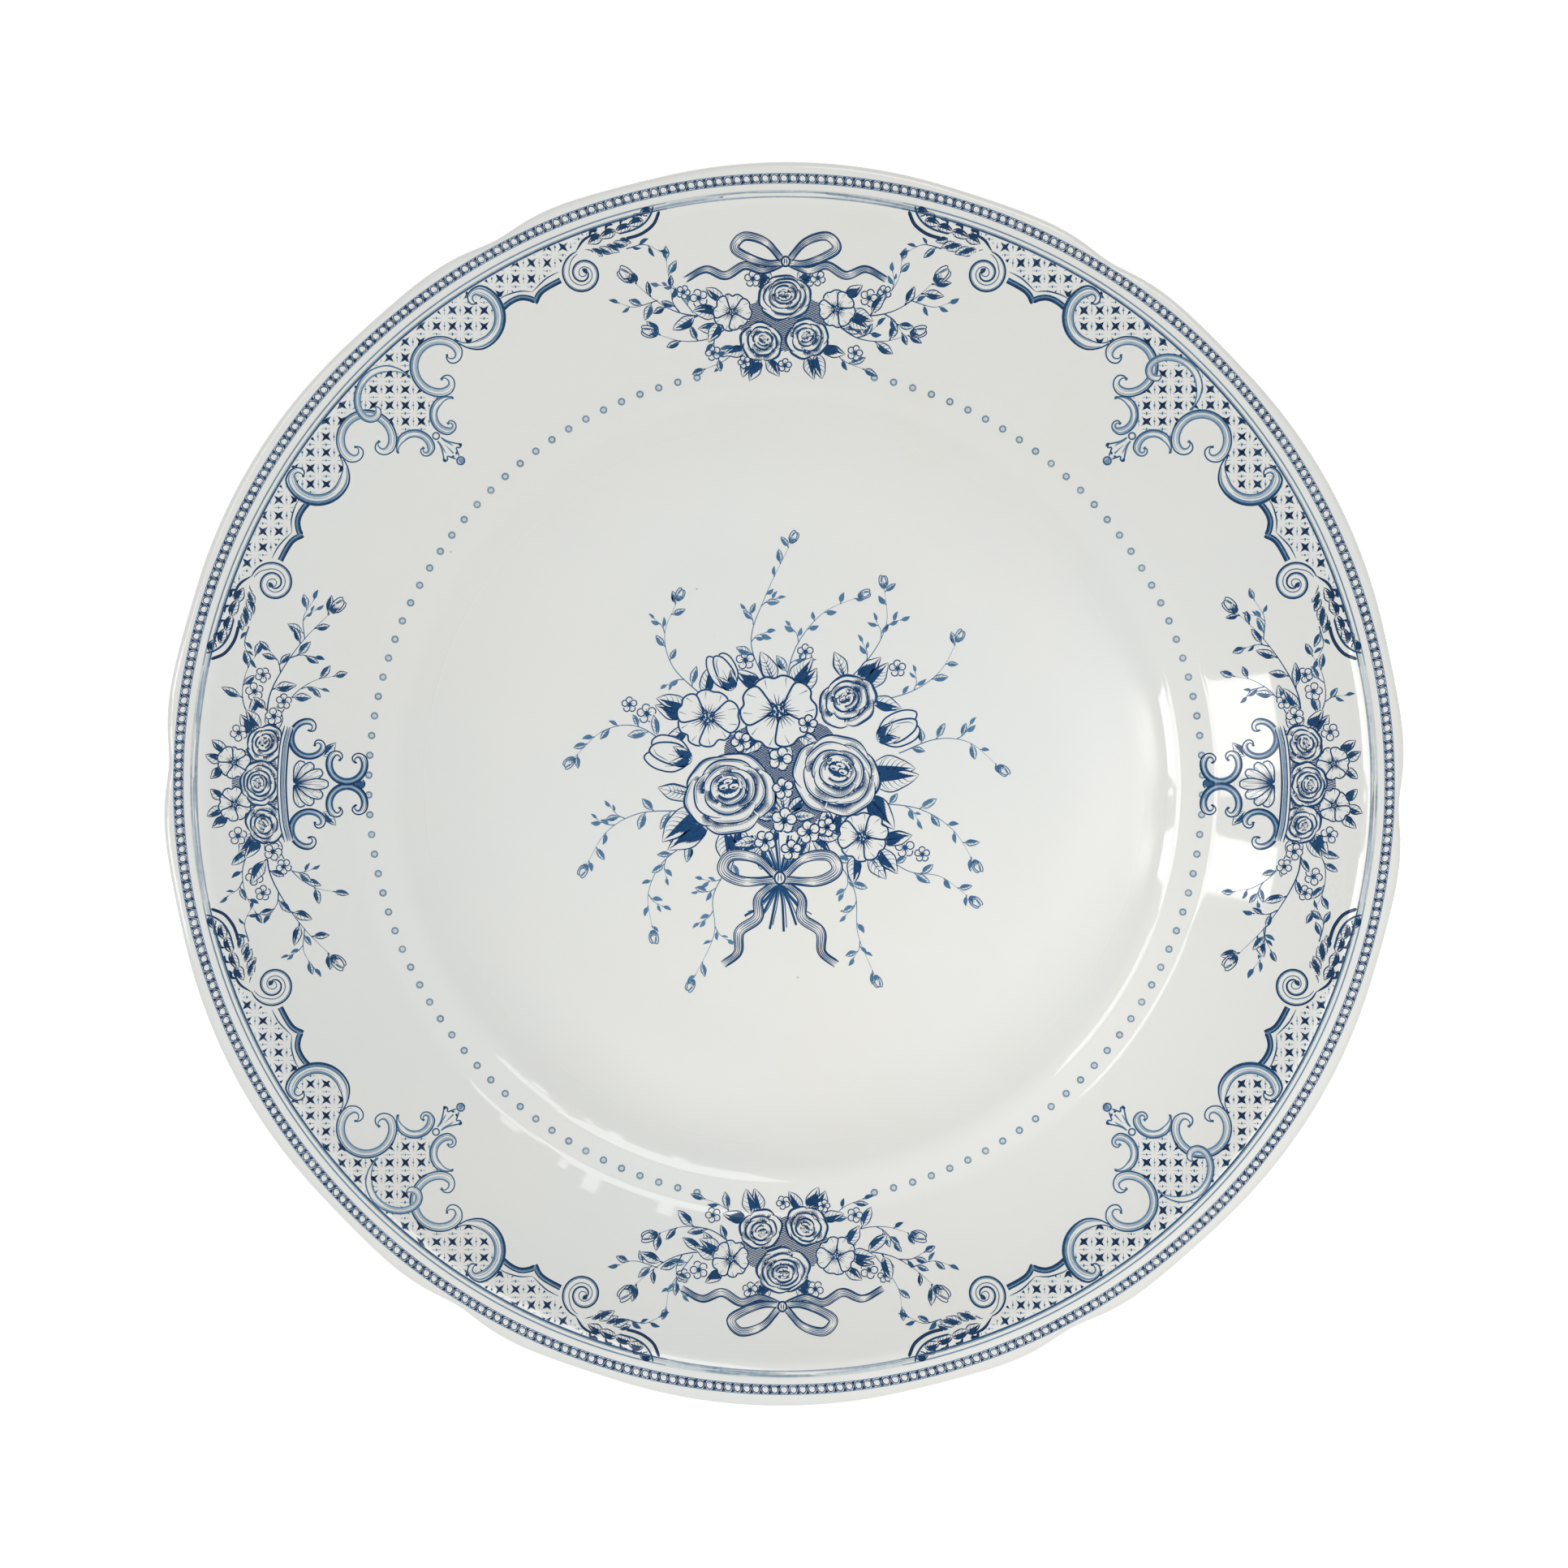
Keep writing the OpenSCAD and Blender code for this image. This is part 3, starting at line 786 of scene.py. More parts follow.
def dotRing(middle):
    s, k = inkSheet(13 + middle), rimInk
    for i in range(k["dots"]):
        a = 360 * (i + 0.5) / k["dots"]
        if abs((a - middle + 180) % 360 - 180) < 90 - k["dotGap"]:
            at = aim(a) * k["dotLine"] + k["dotShift"]
            s.ring(at, k["dotRadius"], 0.33, s.vary(0.36, 0.5), count=12)
            s.dot(at, 0.34, 0.04)
    return s


def volute(sheet, centre, radius, start, turns):
    band, tone = 1.5, 0.9
    theta = np.linspace(0, turns * 2 * pi, 170)
    r = radius * (1 - 0.84 * theta / theta[-1])
    path = oval(centre, r, r, radians(start) + theta)
    n = across(path)  # towards the middle
    t = theta / theta[-1]
    wide = (np.minimum(band, r * 0.6) * np.clip(np.minimum(t * 8 + 0.4, (1 - t) * 5 + 0.2), 0, 1))[:, None]
    sheet.stroke(path, 0.32, tone, "even")
    sheet.stroke(path + n * wide, 0.17, tone * 0.7, "even")
    sheet.stroke((path + n * wide * 0.24)[6:130], 0.22, tone * 0.34)
    sheet.dot(path[-1], 0.6, tone)
    sheet.hide(oval(centre, radius + 0.1, radius + 0.1, theta[:74]))


def frill(sheet, points, leaves, length):  # a row of small leaves hanging from a curve
    path = evenly(flowing(points), 0.2)
    n = across(path)
    for k in range(leaves):
        i = int((k + 0.5) * len(path) / leaves)
        size = length * (0.7 + 0.3 * sin(pi * (k + 0.5) / leaves)) * sheet.vary(0.85, 1.15)
        turn = degrees(atan2(-n[i][1], -n[i][0])) + 38 + sheet.vary(-8, 8)
        leaf(sheet, path[i] + n[i] * 0.4, turn, size, 0.46 * size, 0.22, "half", 0.86, 0.22, 1 if k % 2 else -1)


panelInk = {"pitch": 3.82, "outer": 141.75, "starArm": 2.5, "starWide": 0.62, "link": 3.3, "within": (108, 146)}


def starGround(sheet, outline, diagonal):
    k = panelInk
    keep, sheet.frames = sheet.frames, [plainFrame]
    rim = arc(k["outer"], diagonal - 33, diagonal + 33, 1.0)
    if hypot(*(outline[-1] - rim[-1])) < hypot(*(outline[-1] - rim[0])):
        rim = rim[::-1]
    sheet.within = np.concatenate([outline, rim])
    lo, hi = sheet.within.min(0), sheet.within.max(0)
    for i in range(int(lo[0] / k["pitch"]) - 1, int(hi[0] / k["pitch"]) + 2):
        for j in range(int(lo[1] / k["pitch"]) - 1, int(hi[1] / k["pitch"]) + 2):
            c = np.array([i, j]) * k["pitch"]
            if not k["within"][0] < hypot(*c) < k["within"][1]:
                continue
            for a in (45, 135):
                turn = aim(a + sheet.vary(-5, 5))
                sheet.dash(c, turn, k["starArm"], k["starWide"] * sheet.vary(0.85, 1.15), 1.0)
                sheet.dash(c, turn, k["link"], 0.22, 0.6)
            sheet.dash(c, np.array([1, 0]), 1.0, 0.5, 1.0)
            sheet.dash(c, np.array([0, 1]), 1.0, 0.46, 1.0)
            for a in (0, 90):  # a soft touch half way to the next star each way
                m = c + aim(a) * k["pitch"] / 2
                sheet.dot(m, sheet.vary(0.2, 0.3), sheet.vary(0.35, 0.55))
                for b in (1, -1):
                    sheet.stroke([m + aim(a + 90) * b * 0.45, m + aim(a + 90) * b * 1.1], 0.15, 0.34, "thorn",
                                 step=0.24)
    sheet.within, sheet.frames = None, keep


def finial(sheet):  # a small trefoil that ends in a ball
    sheet.ring((0, 119.3), 0.82, 0.28, 0.7, count=14)
    sheet.hide(arc(1.0, 0, 360, 0.4) + [0, 119.3])
    sheet.ring((0, 110.9), 0.95, 0.32, 0.6, count=14)
    sheet.dot((0.1, 110.8), 0.62, 0.34)
    sheet.hide(arc(1.15, 0, 360, 0.4) + [0, 110.9])
    for d in (1, -1):
        sheet.line([(0.5 * d, 118.5), (1.0 * d, 116.6), (2.0 * d, 114.9), (3.0 * d, 113.5)], 0.28, 0.64, "even")
        sheet.line([(3.0 * d, 113.5), (2.1 * d, 113.3), (1.5 * d, 113.9), (1.0 * d, 113.0), (0.5 * d, 112.0)], 0.28,
                   0.7, "even")
        sheet.dot((2.7 * d, 113.7), 0.4, 0.85)
        sheet.line([(1.3 * d, 114.6), (0.9 * d, 116.2), (0.4 * d, 117.6)], 0.34, 0.3)
        sheet.line([(0.9 * d, 113.2), (0.2 * d, 112.7)], 0.4, 0.8)
    sheet.line([(0, 113.4), (0.1, 116.4)], 0.3, 0.5, "thorn")
    sheet.hide([(0.5, 118.5), (1.0, 116.6), (3.0, 113.5), (0.8, 112.6), (-0.8, 112.6), (-3.0, 113.5), (-1.0, 116.6),
                (-0.5, 118.5)])


def trellisPanel(diagonal, press):
    s = inkSheet(diagonal, press)
    s.enter((0, 0), diagonal - 90)
    finial(s)
    heavyRail = ((0, 0.5, 0.95), (0.42, 0.4, 0.42), (0.9, 0.3, 0.85))
    scroll(s, (-5.4, 134.6), (5.6, 133.8), 5.6, 1.0, 2.2, (0.4, 0.6), True, 1.5, 0.56, 0.28, 0.3, (0.2, 0.8))
    for flip in (False, True):
        s.enter(flip=flip)
        scroll(s, (4.2, 119.4), (9.4, 123.0), 6.2, 1.3, 2.3, (0.42, 0.6), True, 1.7, 0.62, 0.28, 0.38, (0.4, 0.97))
        scroll(s, (10.7, 128.0), (15.7, 131.1), 6.0, 6.2, 2.7, (0.42, 0.42), True, 1.9, 0.66, 0.3, 0.34, (0.26, 0.72))
        scroll(s, (19.8, 131.8), (29.6, 134.9), 1.5, 5.6, 2.5, (0.66, 0.36), False, 2.5, 0.8, 0.5, 0.38, (0.06, 0.72))
        volute(s, (53.0, 121.8), 5.4, 62, 1.85)
        s.line([(62.4, 126.2), (58.9, 127.3), (55.5, 126.7)], 0.5, 0.95, "swell")
        rail(s, [(32.4, 129.2), (35.4, 129.0), (37.8, 128.1), (39.2, 126.5), (39.7, 125.2)], heavyRail)
        rail(s, [(39.8, 124.6), (42.1, 125.4), (44.6, 125.1), (49.4, 123.6)], heavyRail)
        s.line([(34.1, 131.7), (36.3, 131.1), (39.1, 129.5), (41.2, 127.3)], 0.26, 0.8)
        s.line([(41.2, 127.3), (45.7, 127.2), (49.1, 126.2)], 0.26, 0.8)
        s.hide([(34.1, 131.7), (36.3, 131.1), (39.1, 129.5), (41.2, 127.3), (45.7, 127.2), (49.1, 126.2),
                (47.6, 123.8), (44.6, 124.8), (39.6, 124.4), (38.6, 127.6), (35.4, 129.0), (32.6, 129.4)])
        frill(s, [(56.4, 125.6), (59.0, 123.8), (62.2, 122.0), (65.8, 120.7)], 6, 3.9)
        s.line([(65.6, 120.8), (68.2, 119.2), (70.6, 118.3), (73.6, 118.1), (76.6, 119.3)], 0.6, 1.0, "even")
        s.line([(65.9, 122.3), (69.2, 120.5), (72.0, 119.8), (74.6, 120.2), (76.4, 121.2)], 0.36, 0.85, "even")
        s.hide([(65.6, 120.8), (68.2, 119.2), (70.6, 118.3), (73.6, 118.1), (76.6, 119.3), (76.4, 121.2),
                (72.0, 119.8), (69.2, 120.5), (65.9, 122.3)])
        for u, v, turn, long in ((64.4, 123.6, 152, 4.4), (67.8, 121.9, 150, 4.2), (70.9, 120.7, 146, 3.9),
                                 (74.0, 120.9, 140, 3.0), (61.4, 124.9, 156, 4.2)):
            leaf(s, (u + 1.4, v - 0.3), turn, long, 2.1, 0.12, "half", 0.95, 0.26, -1)
        for u, v in ((60.4, 127.0), (64.2, 125.3), (67.6, 123.7), (70.6, 122.3), (73.2, 121.5)):
            s.line([(u, v), (u + 1.1, v + 0.55), (u + 2.2, v - 0.3)], 0.6, 1.0)
        twig(s, [(64.6, 118.6), (68.4, 116.2), (70.0, 112.4)], 2.8, 5, 0.75, 0.24)
        s.leave()
    half = [(0, 121.4), (3.2, 124.4), (7.4, 125.4), (7.0, 128.6), (6.6, 132.4), (8.6, 135.6), (12.2, 136.4),
            (15.8, 134.8), (17.6, 131.8), (20.8, 129.9), (24.6, 128.4), (28.6, 128.6), (31.8, 130.2), (34.1, 131.9),
            (36.3, 131.3), (39.1, 129.7), (41.2, 127.6), (45.7, 127.5), (50.2, 127.2), (55.8, 128.2), (61.0, 127.3),
            (66.4, 125.0), (71.0, 122.8), (76, 120.0)]
    local = np.array([(-u, v) for u, v in half[:0:-1]] + half)
    starGround(s, s.place(local), diagonal)
    s.leave()
    return s


# the sprays on the flange and the posy on the floor

# leaves from behind a flower: angle, length, width, curl, look if not half
def tucked(sheet, centre, radius, leaves, tone=0.86, rim=0.24):
    for angle, length, width, curl, *look in leaves:
        at = np.array(centre) + aim(angle) * radius * 0.78
        leaf(sheet, at, angle + 40 * curl, length, width, curl, look[0] if look else "half", tone, rim,
             1 if curl > 0 else -1)


def sprig(sheet, points, size, count, tone, stem):  # a leafy stalk that ends in a small bud
    path = flowing(points)
    end, before = path[-1], path[-6]
    turn = degrees(atan2(*(end - before)[::-1]))
    bud(sheet, end, turn, size * 0.95, tone, 0.2, 0.3)
    twig(sheet, points, size, count, tone, stem, "half", 0.12, 42, False)


def bow(sheet, at, loop, tail, width, tone=0.88):  # loop and tail are the paths of the right-hand half
    sheet.enter(at)
    r = width * 0.52
    sheet.ring((0, 0), r, 0.34, tone, 1.15)
    for x in (-0.35, 0.3):
        sheet.line([(x * r, -0.7 * r), (x * 0.7 * r, 0.8 * r)], 0.2, tone)
    sheet.hide(arc(r * 1.1, 0, 360, 0.3))
    for d in (1, -1):
        flip = np.array([d, 1])
        ribbon(sheet, np.array(loop) * flip, width, tone, 4)
        ribbon(sheet, np.array(tail) * flip, width * 0.94, tone, 5)
    sheet.leave()


def deepSpray(turn, press):  # roses, blossoms and a silk bow
    s = inkSheet(40 + turn, press)
    s.enter(aim(turn) * 117, turn - 90)
    bow(s, (0.4, 9.6), [(0.8, 0.3), (4.8, 4.6), (10.0, 6.0), (12.4, 3.2), (9.0, 0.9), (4.4, -0.5), (0.8, -0.3)],
        [(0.7, -0.5), (5.4, -2.2), (10.0, -1.0), (14.6, -3.4), (19.4, -1.9), (24.4, -4.4)], 2.0)
    floret(s, (0.2, -15.4), 1.7, 10, 0.85)
    floret(s, (-9.6, -14.6), 1.6, 40, 0.85)
    rose(s, (5.6, -8.9), 5.5, 20, 0.88, 0.9, 3)
    rose(s, (-5.4, -9.7), 5.4, -30, 0.88, 0.9, 3)
    rose(s, (0.2, 1.0), 6.7, 5, 0.88, 0.84, 4)
    blossom(s, (-12.6, -2.6), 4.7, 12, 0.82, 0.26)
    blossom(s, (12.8, -1.8), 4.5, 40, 0.82, 0.26)
    floret(s, (-7.6, 5.4), 2.0, 20, 0.85)
    floret(s, (8.2, 5.6), 1.9, 50, 0.85)
    tucked(s, (-5.4, -9.7), 5.4, ((232, 5.6, 2.9, 0.2), (262, 5.8, 2.8, -0.2, "full"), (205, 5.4, 2.6, -0.15),
                                  (288, 5.2, 2.6, 0.2)))
    tucked(s, (5.6, -8.9), 5.5, ((300, 6.2, 3.0, -0.2), (270, 5.8, 2.7, 0.2), (328, 5.8, 2.8, 0.2, "full")))
    tucked(s, (-12.6, -2.6), 4.7, ((222, 5.6, 2.8, 0.2), (188, 5.8, 2.8, -0.2), (128, 5.0, 2.5, 0.2)))
    tucked(s, (12.8, -1.8), 4.5, ((-42, 5.6, 2.8, 0.2), (-8, 5.8, 2.8, -0.2), (52, 5.0, 2.5, -0.2, "full")))
    tucked(s, (0.2, 1.0), 6.7, ((128, 5.0, 2.6, 0.2), (54, 5.0, 2.6, -0.2), (152, 4.6, 2.4, -0.2, "full"),
                                (30, 4.6, 2.4, 0.2)))
    for flip in (False, True):
        s.enter(flip=flip)
        sprig(s, [(13, -1.4), (19.4, -3.4), (25.8, -2.6), (31.4, 0.4), (36.4, 4.6)], 5.0, 8, 0.84, 0.32)
        sprig(s, [(12, -5), (17.8, -8.8), (24.4, -9.6), (30.6, -8.0)], 4.4, 7, 0.78, 0.28)
        floret(s, (20.6, 0.8), 2.2, 0, 0.84)
        floret(s, (24.4, 2.2), 1.7, 40, 0.78)
        floret(s, (17.2, -12.4), 1.9, 0, 0.8)
        twig(s, [(10, -10), (14.4, -14.2), (19.4, -16.4)], 3.6, 6, 0.72, 0.24)
        twig(s, [(22, -2.8), (27.4, 4.6), (28.6, 10.2)], 3.4, 6, 0.6, 0.2)
        twig(s, [(30.6, 0.2), (36.2, -1.4), (40.2, -0.4)], 3.0, 5, 0.66, 0.2)
        s.leave()
    s.fill([(-12, -4), (-1, 3), (1, 3), (12, -3), (6, -9), (0, -12), (-6, -10)], 0.88, 20, 0.4, 0.28)
    s.leave()
    return s


def cScroll(sheet, p, q, band, tone, heavy):  # a C that bulges to the left of the way from p to q
    scroll(sheet, p, q, 6.0, 5.6, 2.6, (0.42, 0.4), True, band, tone, heavy, 0.85, (0.3, 0.75))


def scrollSpray(turn, press):  # flowers piled on a small bracket of scrolls and a shell
    s = inkSheet(80 + turn, press)
    s.enter(aim(turn) * 118.4, turn - 90)
    rail(s, [(-13.6, 0.6), (-9, 1.7), (0, 2.3), (9, 1.7), (13.6, 0.6)],
         ((0, 0.34, 0.88), (0.5, 0.16, 0.4), (0.85, 0.3, 0.3), (1.3, 0.24, 0.75), (2.1, 0.26, 0.8)))
    for flip in (False, True):
        s.enter(flip=flip)
        cScroll(s, (5.2, -14.4), (5.8, -10.6), 1.5, 0.84, 0.44)
        cScroll(s, (9.4, -4.6), (13.0, -3.2), 1.3, 0.84, 0.42)
        leaf(s, (6.8, -6.6), -52, 4.4, 2.1, 0.2, "half", 0.8, 0.22)
        s.leave()
    s.dot((0, -15.6), 0.9, 0.7)
    s.ring((0, -15.6), 1.1, 0.26, 0.85)
    s.hide(arc(1.25, 0, 360, 0.4) + [0, -15.6])
    for k, a in enumerate((-90, -66, -114, -42, -138, -20, -160)):  # the shell
        petal(s, (0, 0.4), a, 8.2 - 0.8 * ((k + 1) // 2), 2.7, 0.0, 0.8, 0.26, 4, 0.75)
    rose(s, (0.2, 8.4), 5.6, 0, 0.88, 0.9, 4)
    rose(s, (-9.6, 7.4), 5.2, 30, 0.88, 0.9, 3)
    rose(s, (9.8, 7.2), 5.0, -40, 0.88, 0.9, 3)
    blossom(s, (-5.0, 14.6), 4.1, 10, 0.84, 0.26)
    blossom(s, (5.2, 14.8), 3.9, 50, 0.84, 0.26)
    floret(s, (-12.6, 13.8), 2.2, 0, 0.86)
    floret(s, (12.4, 13.6), 2.1, 30, 0.86)
    floret(s, (-16.4, 5.4), 2.2, 50, 0.86)
    floret(s, (16.4, 5.2), 2.1, 10, 0.86)
    for k in range(9):  # small round blooms that spill along the rail
        x = -12 + 3 * k
        s.ring((x, 3.3), 0.85, 0.24, 0.84)
        s.dot((x, 3.3), 0.3, 0.8)
        s.hide(arc(0.95, 0, 360, 0.4) + [x, 3.3])
    tucked(s, (-9.6, 7.4), 5.2, ((188, 5.6, 2.8, 0.2), (160, 5.6, 2.7, -0.2, "full"), (130, 5.4, 2.6, 0.2),
                                 (212, 5.0, 2.5, -0.2)))
    tucked(s, (9.8, 7.2), 5.0, ((-8, 5.6, 2.8, -0.2), (20, 5.6, 2.7, 0.2), (50, 5.4, 2.6, -0.2, "full"),
                                (-32, 5.0, 2.5, 0.2)))
    tucked(s, (-5.0, 14.6), 4.1, ((104, 4.0, 2.2, 0.2), (146, 4.6, 2.2, -0.2, "full"), (66, 3.8, 2.0, -0.2)))
    tucked(s, (5.2, 14.8), 3.9, ((84, 4.0, 2.2, -0.2), (34, 4.6, 2.2, 0.2), (116, 3.8, 2.0, 0.2, "full")))
    for flip in (False, True):
        s.enter(flip=flip)
        sprig(s, [(14, 7), (21.4, 6.2), (28.6, 2.6), (35.4, -2.4), (41.6, -8.6)], 4.6, 9, 0.84, 0.32)
        floret(s, (22.4, 9.8), 2.2, 10, 0.86)
        floret(s, (26.4, 7.8), 1.9, 40, 0.84)
        floret(s, (20.0, 2.8), 1.9, 70, 0.84)
        twig(s, [(14, 10), (20.2, 12.6), (26.4, 12.0), (31.4, 9.4)], 4.0, 7, 0.78, 0.26)
        twig(s, [(16, 4), (21.6, 0.4), (25.0, -4.4), (26.2, -9.6)], 3.8, 7, 0.72, 0.24)
        twig(s, [(35, -2.2), (40.4, -2.0), (44.8, -4.6)], 3.2, 5, 0.66, 0.2)
        s.leave()
    s.fill([(-9.6, 7.4), (-9.4, 10), (-5, 14.6), (5.2, 14.8), (9.6, 10), (9.8, 7.2), (5, 4.6), (0, 4.2), (-5, 4.6)],
           0.88, -15, 0.4, 0.28)
    s.leave()
    return s


def centrePosy():  # a loose posy whose stems are tied with a bow
    s = inkSheet(7)
    s.enter((0, 1.5))
    for x, y, r, a in ((0.0, -10.4, 3.2, 10), (6.0, -13.2, 2.9, 30), (-4.6, -15.4, 2.7, 50), (1.8, -17.6, 2.6, 20),
                       (-0.9, 4.6, 3.0, 0), (-0.2, -2.6, 2.7, 30), (10.4, -12.0, 2.4, 0), (5.8, 13.0, 2.4, 10),
                       (-10.4, 8.8, 2.6, 40)):
        floret(s, (x, y), r, a, 0.9, 0.26)
    rose(s, (-13.2, -3.6), 11.6, 12, 0.88, 0.88, 4)
    rose(s, (12.8, 0.6), 11.2, -18, 0.88, 0.9, 4)
    blossom(s, (-1.4, 16.2), 9.2, 20, 0.85, 0.34)
    blossom(s, (-18.6, 14.6), 7.4, 5, 0.82, 0.3)
    rose(s, (15.4, 18.6), 7.6, 30, 0.88, 0.86, 3)
    blossom(s, (19.0, -14.4), 6.2, 30, 0.82, 0.3)
    bow(s, (-1.0, -24.4), [(0.9, 0.5), (5.8, 4.8), (12.0, 5.4), (13.8, 1.8), (9.0, -0.8), (0.9, -0.4)],
        [(0.9, -0.9), (5.2, -4.8), (5.4, -9.6), (9.8, -13.0), (10.2, -18.0), (13.8, -21.0)], 2.5, 0.9)
    bud(s, (-22.4, 4.4), 166, 11, 0.86, 0.3, 0.6)
    bud(s, (22.6, 9.4), 24, 11, 0.86, 0.3, 0.5)
    bud(s, (-12.4, 21.4), 118, 9.6, 0.84, 0.28, 0.4)
    tucked(s, (-1.4, 16.2), 9.2, ((262, 6.6, 3.2, 0.2, "light"), (284, 7.4, 3.4, -0.2), (238, 6.4, 3.0, -0.2),
                                  (312, 6.6, 3.2, 0.2, "light")), 0.88, 0.26)
    tucked(s, (0.0, -10.4), 3.2, ((88, 7.4, 3.4, 0.15, "light"), (60, 5.6, 2.6, -0.2), (118, 5.6, 2.6, 0.2),
                                  (160, 5.2, 2.4, 0.2, "light"), (20, 5.2, 2.4, -0.2, "light"),
                                  (228, 5.0, 2.4, 0.2)), 0.88, 0.26)
    tucked(s, (6.0, -13.2), 2.9, ((-20, 5.6, 2.6, 0.2, "light"), (-56, 5.4, 2.6, 0.2), (262, 5.2, 2.4, -0.2)), 0.88,
           0.26)
    tucked(s, (-4.6, -15.4), 2.7, ((176, 5.6, 2.6, 0.2, "light"), (216, 5.4, 2.6, -0.2), (250, 5.0, 2.4, 0.2)), 0.88,
           0.26)
    tucked(s, (-13.2, -3.6), 11.6, ((206, 11.4, 5.6, 0.22), (232, 11.6, 5.4, -0.2, "full"), (262, 9.6, 4.6, 0.2),
                                    (184, 8.6, 4.0, -0.2, "light"), (286, 7.6, 3.6, -0.15)), 0.88, 0.28)
    tucked(s, (12.8, 0.6), 11.2, ((-10, 11.4, 5.4, 0.22), (14, 10.6, 5.0, -0.2), (-34, 10.6, 4.8, -0.2, "full"),
                                  (254, 8.4, 3.8, 0.2), (278, 8.0, 3.8, -0.2)), 0.88, 0.28)
    tucked(s, (-1.4, 16.2), 9.2, ((66, 8.4, 4.0, -0.2), (98, 8.0, 3.8, 0.2, "light"), (128, 7.4, 3.4, 0.2, "full"),
                                  (40, 7.0, 3.2, 0.2)), 0.88, 0.26)
    tucked(s, (-18.6, 14.6), 7.4, ((150, 7.6, 3.6, 0.2), (176, 7.4, 3.4, -0.2, "full"), (206, 7.0, 3.3, 0.2),
                                   (96, 6.8, 3.2, -0.2)), 0.86, 0.26)
    tucked(s, (15.4, 18.6), 7.6, ((34, 7.8, 3.7, 0.2), (62, 7.6, 3.5, -0.2, "full"), (2, 7.4, 3.4, -0.2),
                                  (96, 6.6, 3.2, 0.2, "light")), 0.86, 0.26)
    tucked(s, (19.0, -14.4), 6.2, ((-36, 7.6, 3.7, -0.2), (-8, 7.4, 3.5, 0.2, "full"), (250, 6.8, 3.3, 0.2),
                                   (-70, 7.0, 3.3, 0.2, "light")), 0.86, 0.26)
    for x in (-4.4, -2.8, -1.2, 0.6, 2.2, 3.8):
        s.line([(x * 1.8, -14), (-1.0 + x * 0.2, -24.4), (x * 1.1 - 1.0, -31), (x * 1.9 - 1.2, -38 + abs(x))], 0.42,
               0.85, "bar")
        s.line([(x * 1.8 + 0.8, -14), (-0.6 + x * 0.2, -24.4), (x * 1.1 - 0.4, -31), (x * 1.9 - 0.5, -37 + abs(x))],
               0.2, 0.6, "bar")
    for path, size, count, tone in (([(-4, 22), (-8, 33), (-4.6, 44), (1.6, 57)], 3.4, 12, 0.74),
                                    ([(0, 22), (3, 32), (9.4, 40), (18, 44)], 3.4, 10, 0.7),
                                    ([(16, 24), (22, 31), (25, 38), (24.4, 46)], 3.4, 8, 0.74),
                                    ([(-20, 20), (-27, 27), (-29, 35), (-26, 43)], 3.4, 9, 0.72),
                                    ([(-28, 8), (-36, 12.6), (-44, 11.4), (-51, 5)], 3.6, 10, 0.72),
                                    ([(-24, -8), (-35, -8.6), (-43, -13), (-48, -21)], 3.6, 10, 0.72),
                                    ([(28, 6), (37, 9.4), (45, 8.6), (52, 3)], 3.6, 9, 0.72),
                                    ([(22, -6), (33, -7.6), (41, -12.6), (46, -20)], 3.6, 10, 0.7),
                                    ([(-20, -14), (-29, -20), (-33, -28), (-32, -37)], 3.6, 9, 0.7),
                                    ([(22, -17), (30, -22.6), (38, -24), (45, -29)], 3.8, 9, 0.74),
                                    ([(10, -16), (17, -27), (18, -38), (22, -48)], 3.4, 10, 0.68),
                                    ([(-10, -17), (-17, -28), (-17, -38), (-22, -49)], 3.4, 10, 0.68),
                                    ([(20, 18), (31, 21), (38, 26), (42, 33)], 3.4, 8, 0.72)):
        sprig(s, path, size, count, tone * 0.72, 0.22)
    for x, y, r in ((-33.4, 15.6, 2.4), (-37.6, 17.8, 1.9), (29.4, -17.0, 2.4), (33.6, -18.6, 1.9),
                    (-9.4, 28.6, 2.3), (5.2, 30.6, 2.0), (27.6, 26.6, 2.1), (-26.6, -13.6, 2.2)):
        floret(s, (x, y), r, 10 * r, 0.78)
    s.fill([(-12, -4), (-14, 9), (-2, 14), (11, 12), (12, 1), (9, -9), (4, -13), (-5, -12)], 0.88, 25, 0.38, 0.28)
    s.leave()
    return s


# the printed pieces

printLook = {"lift": 0.045, "layerStep": 0.0006, "depths": 20, "turns": 4, "uvSpan": 0.98, "uvEdge": 0.01}
inkLook = {"IOR": 1.28, "blotScale": 900.0, "blot": 0.26, "driftScale": 60.0, "drift": 0.2, "unevenGloss": 0.04,
           "stops": (0.0, 0.42, 0.78, 1.0)}


def inkMaterial(name, colours, gloss=0.05):  # colours from the palest stroke to the deepest
    k = inkLook
    material, shader, spot = newMaterial(name, {"IOR": k["IOR"]})
    tone = spot.node("ShaderNodeAttribute", {"attribute_name": "tone"}, {}, 2)
    blot, drift = spot.noise(k["blotScale"]), spot.noise(k["driftScale"], 1.0)
    worked = tone + (blot - 0.5) * k["blot"] + (drift - 0.5) * k["drift"]
    stops = [(at, linear(*colour)) for at, colour in zip(k["stops"], colours)]
    feed(shader, "Base Color", spot.node("ShaderNodeValToRGB", {"stops": stops}, {0: worked}))
    feed(shader, "Roughness", gloss + k["unevenGloss"] * drift.between(0.3, 0.7))
    return material


